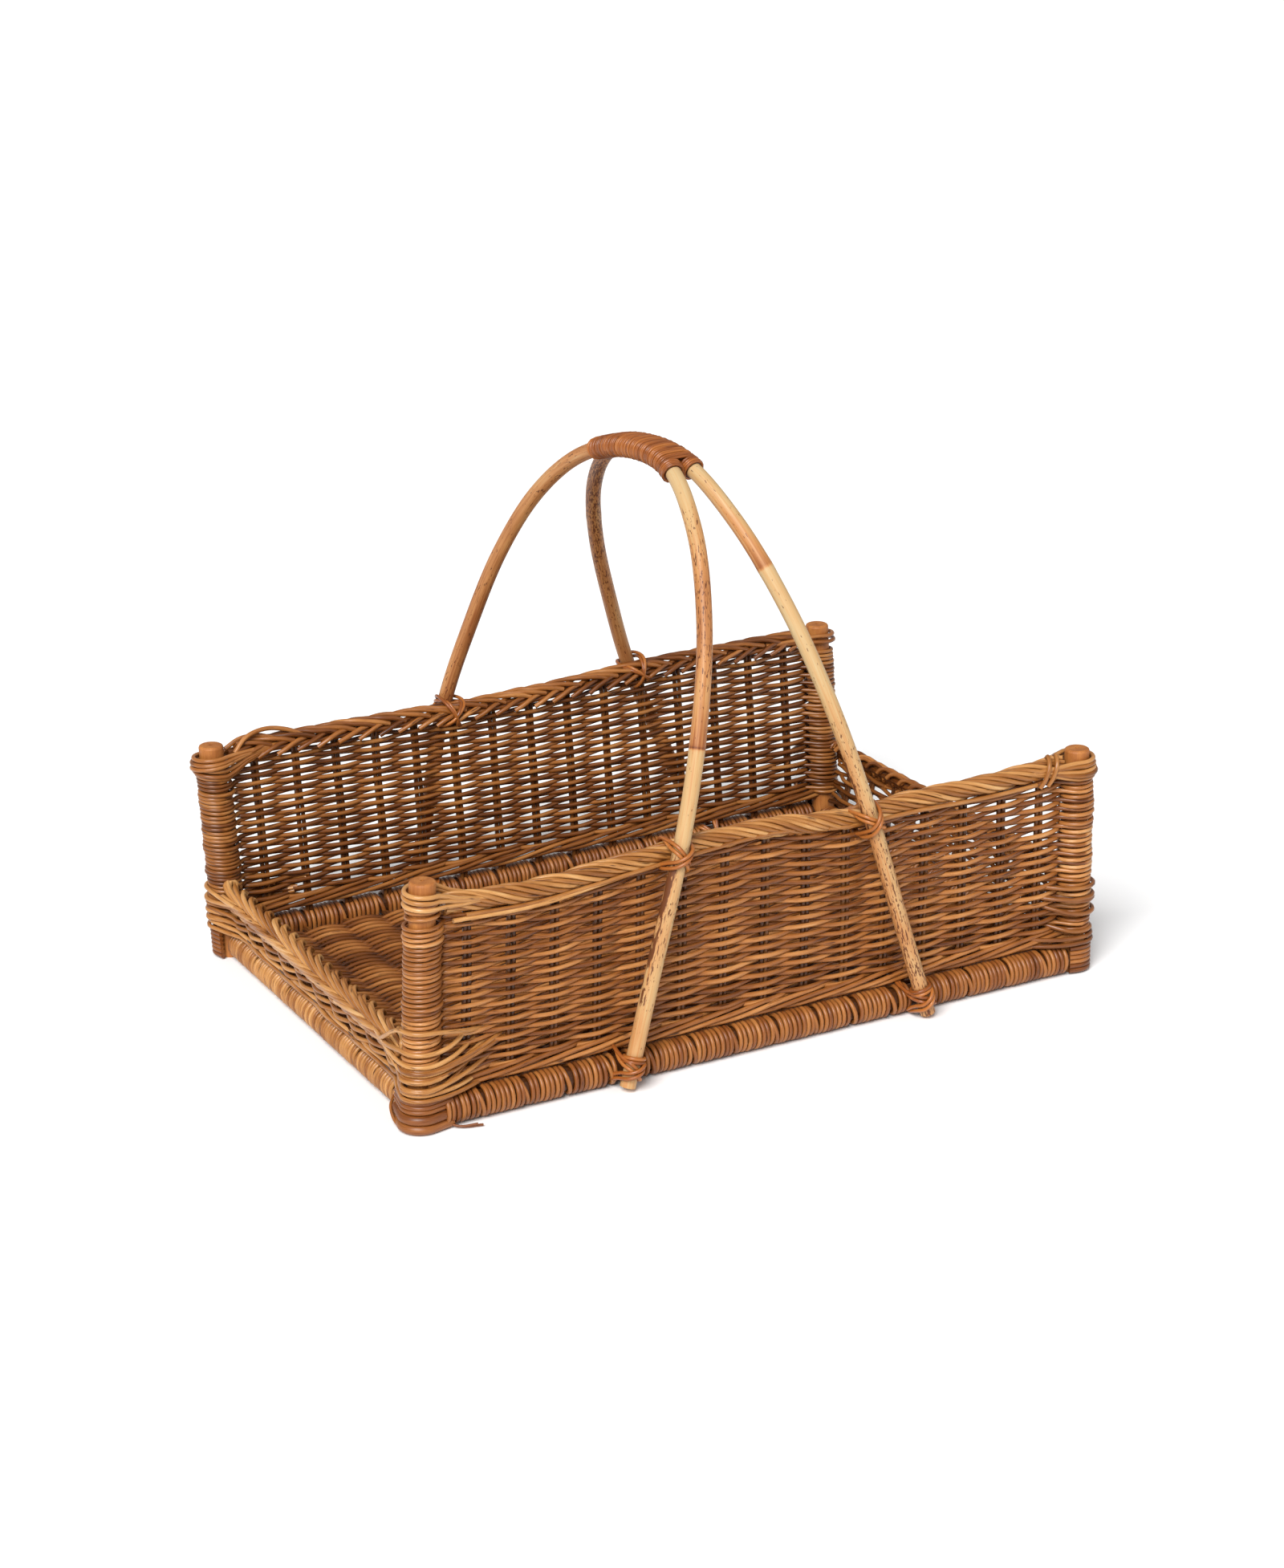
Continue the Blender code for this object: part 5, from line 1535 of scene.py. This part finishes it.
# %% Base rods bent round the corners
def loose_ends(canes):
    """A slack loop beside the front left foot and a frayed tail under the front rail."""
    x, y = post_x((LEFT, FRONT), 0.01), -POST_Y
    canes.lay(smooth([
        (x - 0.006, y + 0.030, 0.014), (x - 0.0135, y + 0.020, 0.011),
        (x - 0.0150, y + 0.008, 0.0035), (x - 0.0120, y - 0.004, 0.0022),
        (x - 0.0060, y - 0.010, 0.0030),
    ], 8), 0.0012, 0.6)
    for end, lift in ((0.038, 0.0014), (0.034, 0.0030)):
        canes.lay(smooth([
            (x + 0.014, y - 0.008, 0.0040), (x + 0.022, y - 0.016, 0.0020),
            (x + end, y - 0.021, lift),
        ], 8), 0.0009, 0.1)


# Heights of the rods, radius of the bend and length of the straight ends: front left, others
THICK_CORNER = ((0.0040, 0.0110, 0.0168, 0.0202, 0.0236), 0.0136, 0.016)
PLAIN_CORNER = ((0.0032, 0.0068, 0.0104, 0.0140, 0.0176, 0.0212), 0.0132, 0.006)
THICK_ROD, THIN_ROD = 0.0036, 0.0018
THICK_BELOW = 0.012
CORNER_ARC = math.radians(62)


def corner_rods(corner):
    side_x, side_y = corner
    canes = Canes(141 + side_x + 3 * side_y)
    thick = corner == (LEFT, FRONT)
    heights, ring, reach = THICK_CORNER if thick else PLAIN_CORNER
    facing = math.atan2(side_y, side_x)
    for z in heights:
        turns = np.linspace(-CORNER_ARC, CORNER_ARC, 15) + facing
        x, y = post_x(corner, z), side_y * POST_Y
        arc = path_of(x + ring * np.cos(turns), y + ring * np.sin(turns), z)
        start, end = arc[0] - arc[1], arc[-1] - arc[-2]
        arc = np.concatenate([
            [arc[0] + start / np.linalg.norm(start) * reach], arc,
            [arc[-1] + end / np.linalg.norm(end) * reach],
        ])
        radius = THICK_ROD if thick and z < THICK_BELOW else THIN_ROD
        canes.lay(respaced(smooth(arc, 4), 0.003), radius, canes.random.uniform(0.0, 0.5))
    if thick:
        loose_ends(canes)
    rods = canes.piece("corner_rods_" + corner_name(corner), WRAP, 12)
    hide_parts("corner_band_" + corner_name(corner))
    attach(rods, "root")


for corner in CORNERS:
    corner_rods(corner)

# %% The rails' cores, which show between the turns, in the dark stake cane as painted shade
for side in ("front", "back", "left", "right"):
    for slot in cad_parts["base_rail_" + side].material_slots:
        slot.material = SHADED_STAKE_CANE

# %% [markdown]
# ## Studio
# A pale floor and a soft white sky, with a large lamp high on the front left and a weak one on
# the front right, as in a catalogue photograph. The camera stands where the photograph was
# taken from.

# %% Floor and light
FLOOR_REACH_OUT = 30.0
FLOOR_DROP = 0.0002
ground = bpy.data.meshes.new("studio_floor")
ground.from_pydata([
    (x * FLOOR_REACH_OUT, y * FLOOR_REACH_OUT, -FLOOR_DROP)
    for x, y in ((-1, -1), (1, -1), (1, 1), (-1, 1))
], [], [(0, 1, 2, 3)])
ground_object = linked("studio_floor", ground)
material, graph, shader = new_finish("studio floor")
shader.inputs["Base Color"].default_value = (0.97, 0.97, 0.97, 1)
shader.inputs["Roughness"].default_value = 0.9
shader.inputs["Specular IOR Level"].default_value = 0.1
ground.materials.append(material)

world = bpy.data.worlds.new("studio")
world.use_nodes = True
sky = world.node_tree.nodes["Background"].inputs
sky["Color"].default_value = (1, 1, 1, 1)
sky["Strength"].default_value = 0.34
bpy.context.scene.world = world


def sun(name, place, strength, softness):
    """A lamp without falloff, so that the floor is lit evenly to the horizon."""
    data = bpy.data.lights.new(name, "SUN")
    data.energy = strength
    data.angle = math.radians(softness)
    thing = linked(name, data)
    thing.rotation_mode = "QUATERNION"
    thing.rotation_quaternion = (-Vector(place)).to_track_quat("-Z", "Y")


sun("key", (-1.05, -1.0, 1.30), 3.90, 34)
sun("fill", (1.4, -1.6, 0.9), 0.35, 60)

# %% Camera
azimuth, elevation, roll = math.radians(-29.45), math.radians(19.56), math.radians(-0.76)
distance, shift_right, shift_up = 2.73924, 0.00108, 0.1376
back = Vector((
    math.sin(azimuth) * math.cos(elevation), -math.cos(azimuth) * math.cos(elevation),
    math.sin(elevation),
))
right = Vector((math.cos(azimuth), math.sin(azimuth), 0))
up = back.cross(right)
FOCAL_PIXELS, PICTURE_HEIGHT, SENSOR = 4391.09, 1954, 36
camera = linked("camera", bpy.data.cameras.new("camera"))
camera.data.lens = FOCAL_PIXELS / PICTURE_HEIGHT * SENSOR
camera.data.sensor_width = SENSOR
camera.data.clip_start = 0.05
camera.data.clip_end = 200
axes = Matrix((
    right * math.cos(roll) + up * math.sin(roll), up * math.cos(roll) - right * math.sin(roll),
    back,
)).transposed()
camera.matrix_world = Matrix.Translation(
    right * shift_right + up * shift_up + back * distance
) @ axes.to_4x4()
bpy.context.scene.camera = camera
bpy.context.scene.view_settings.view_transform = "Standard"
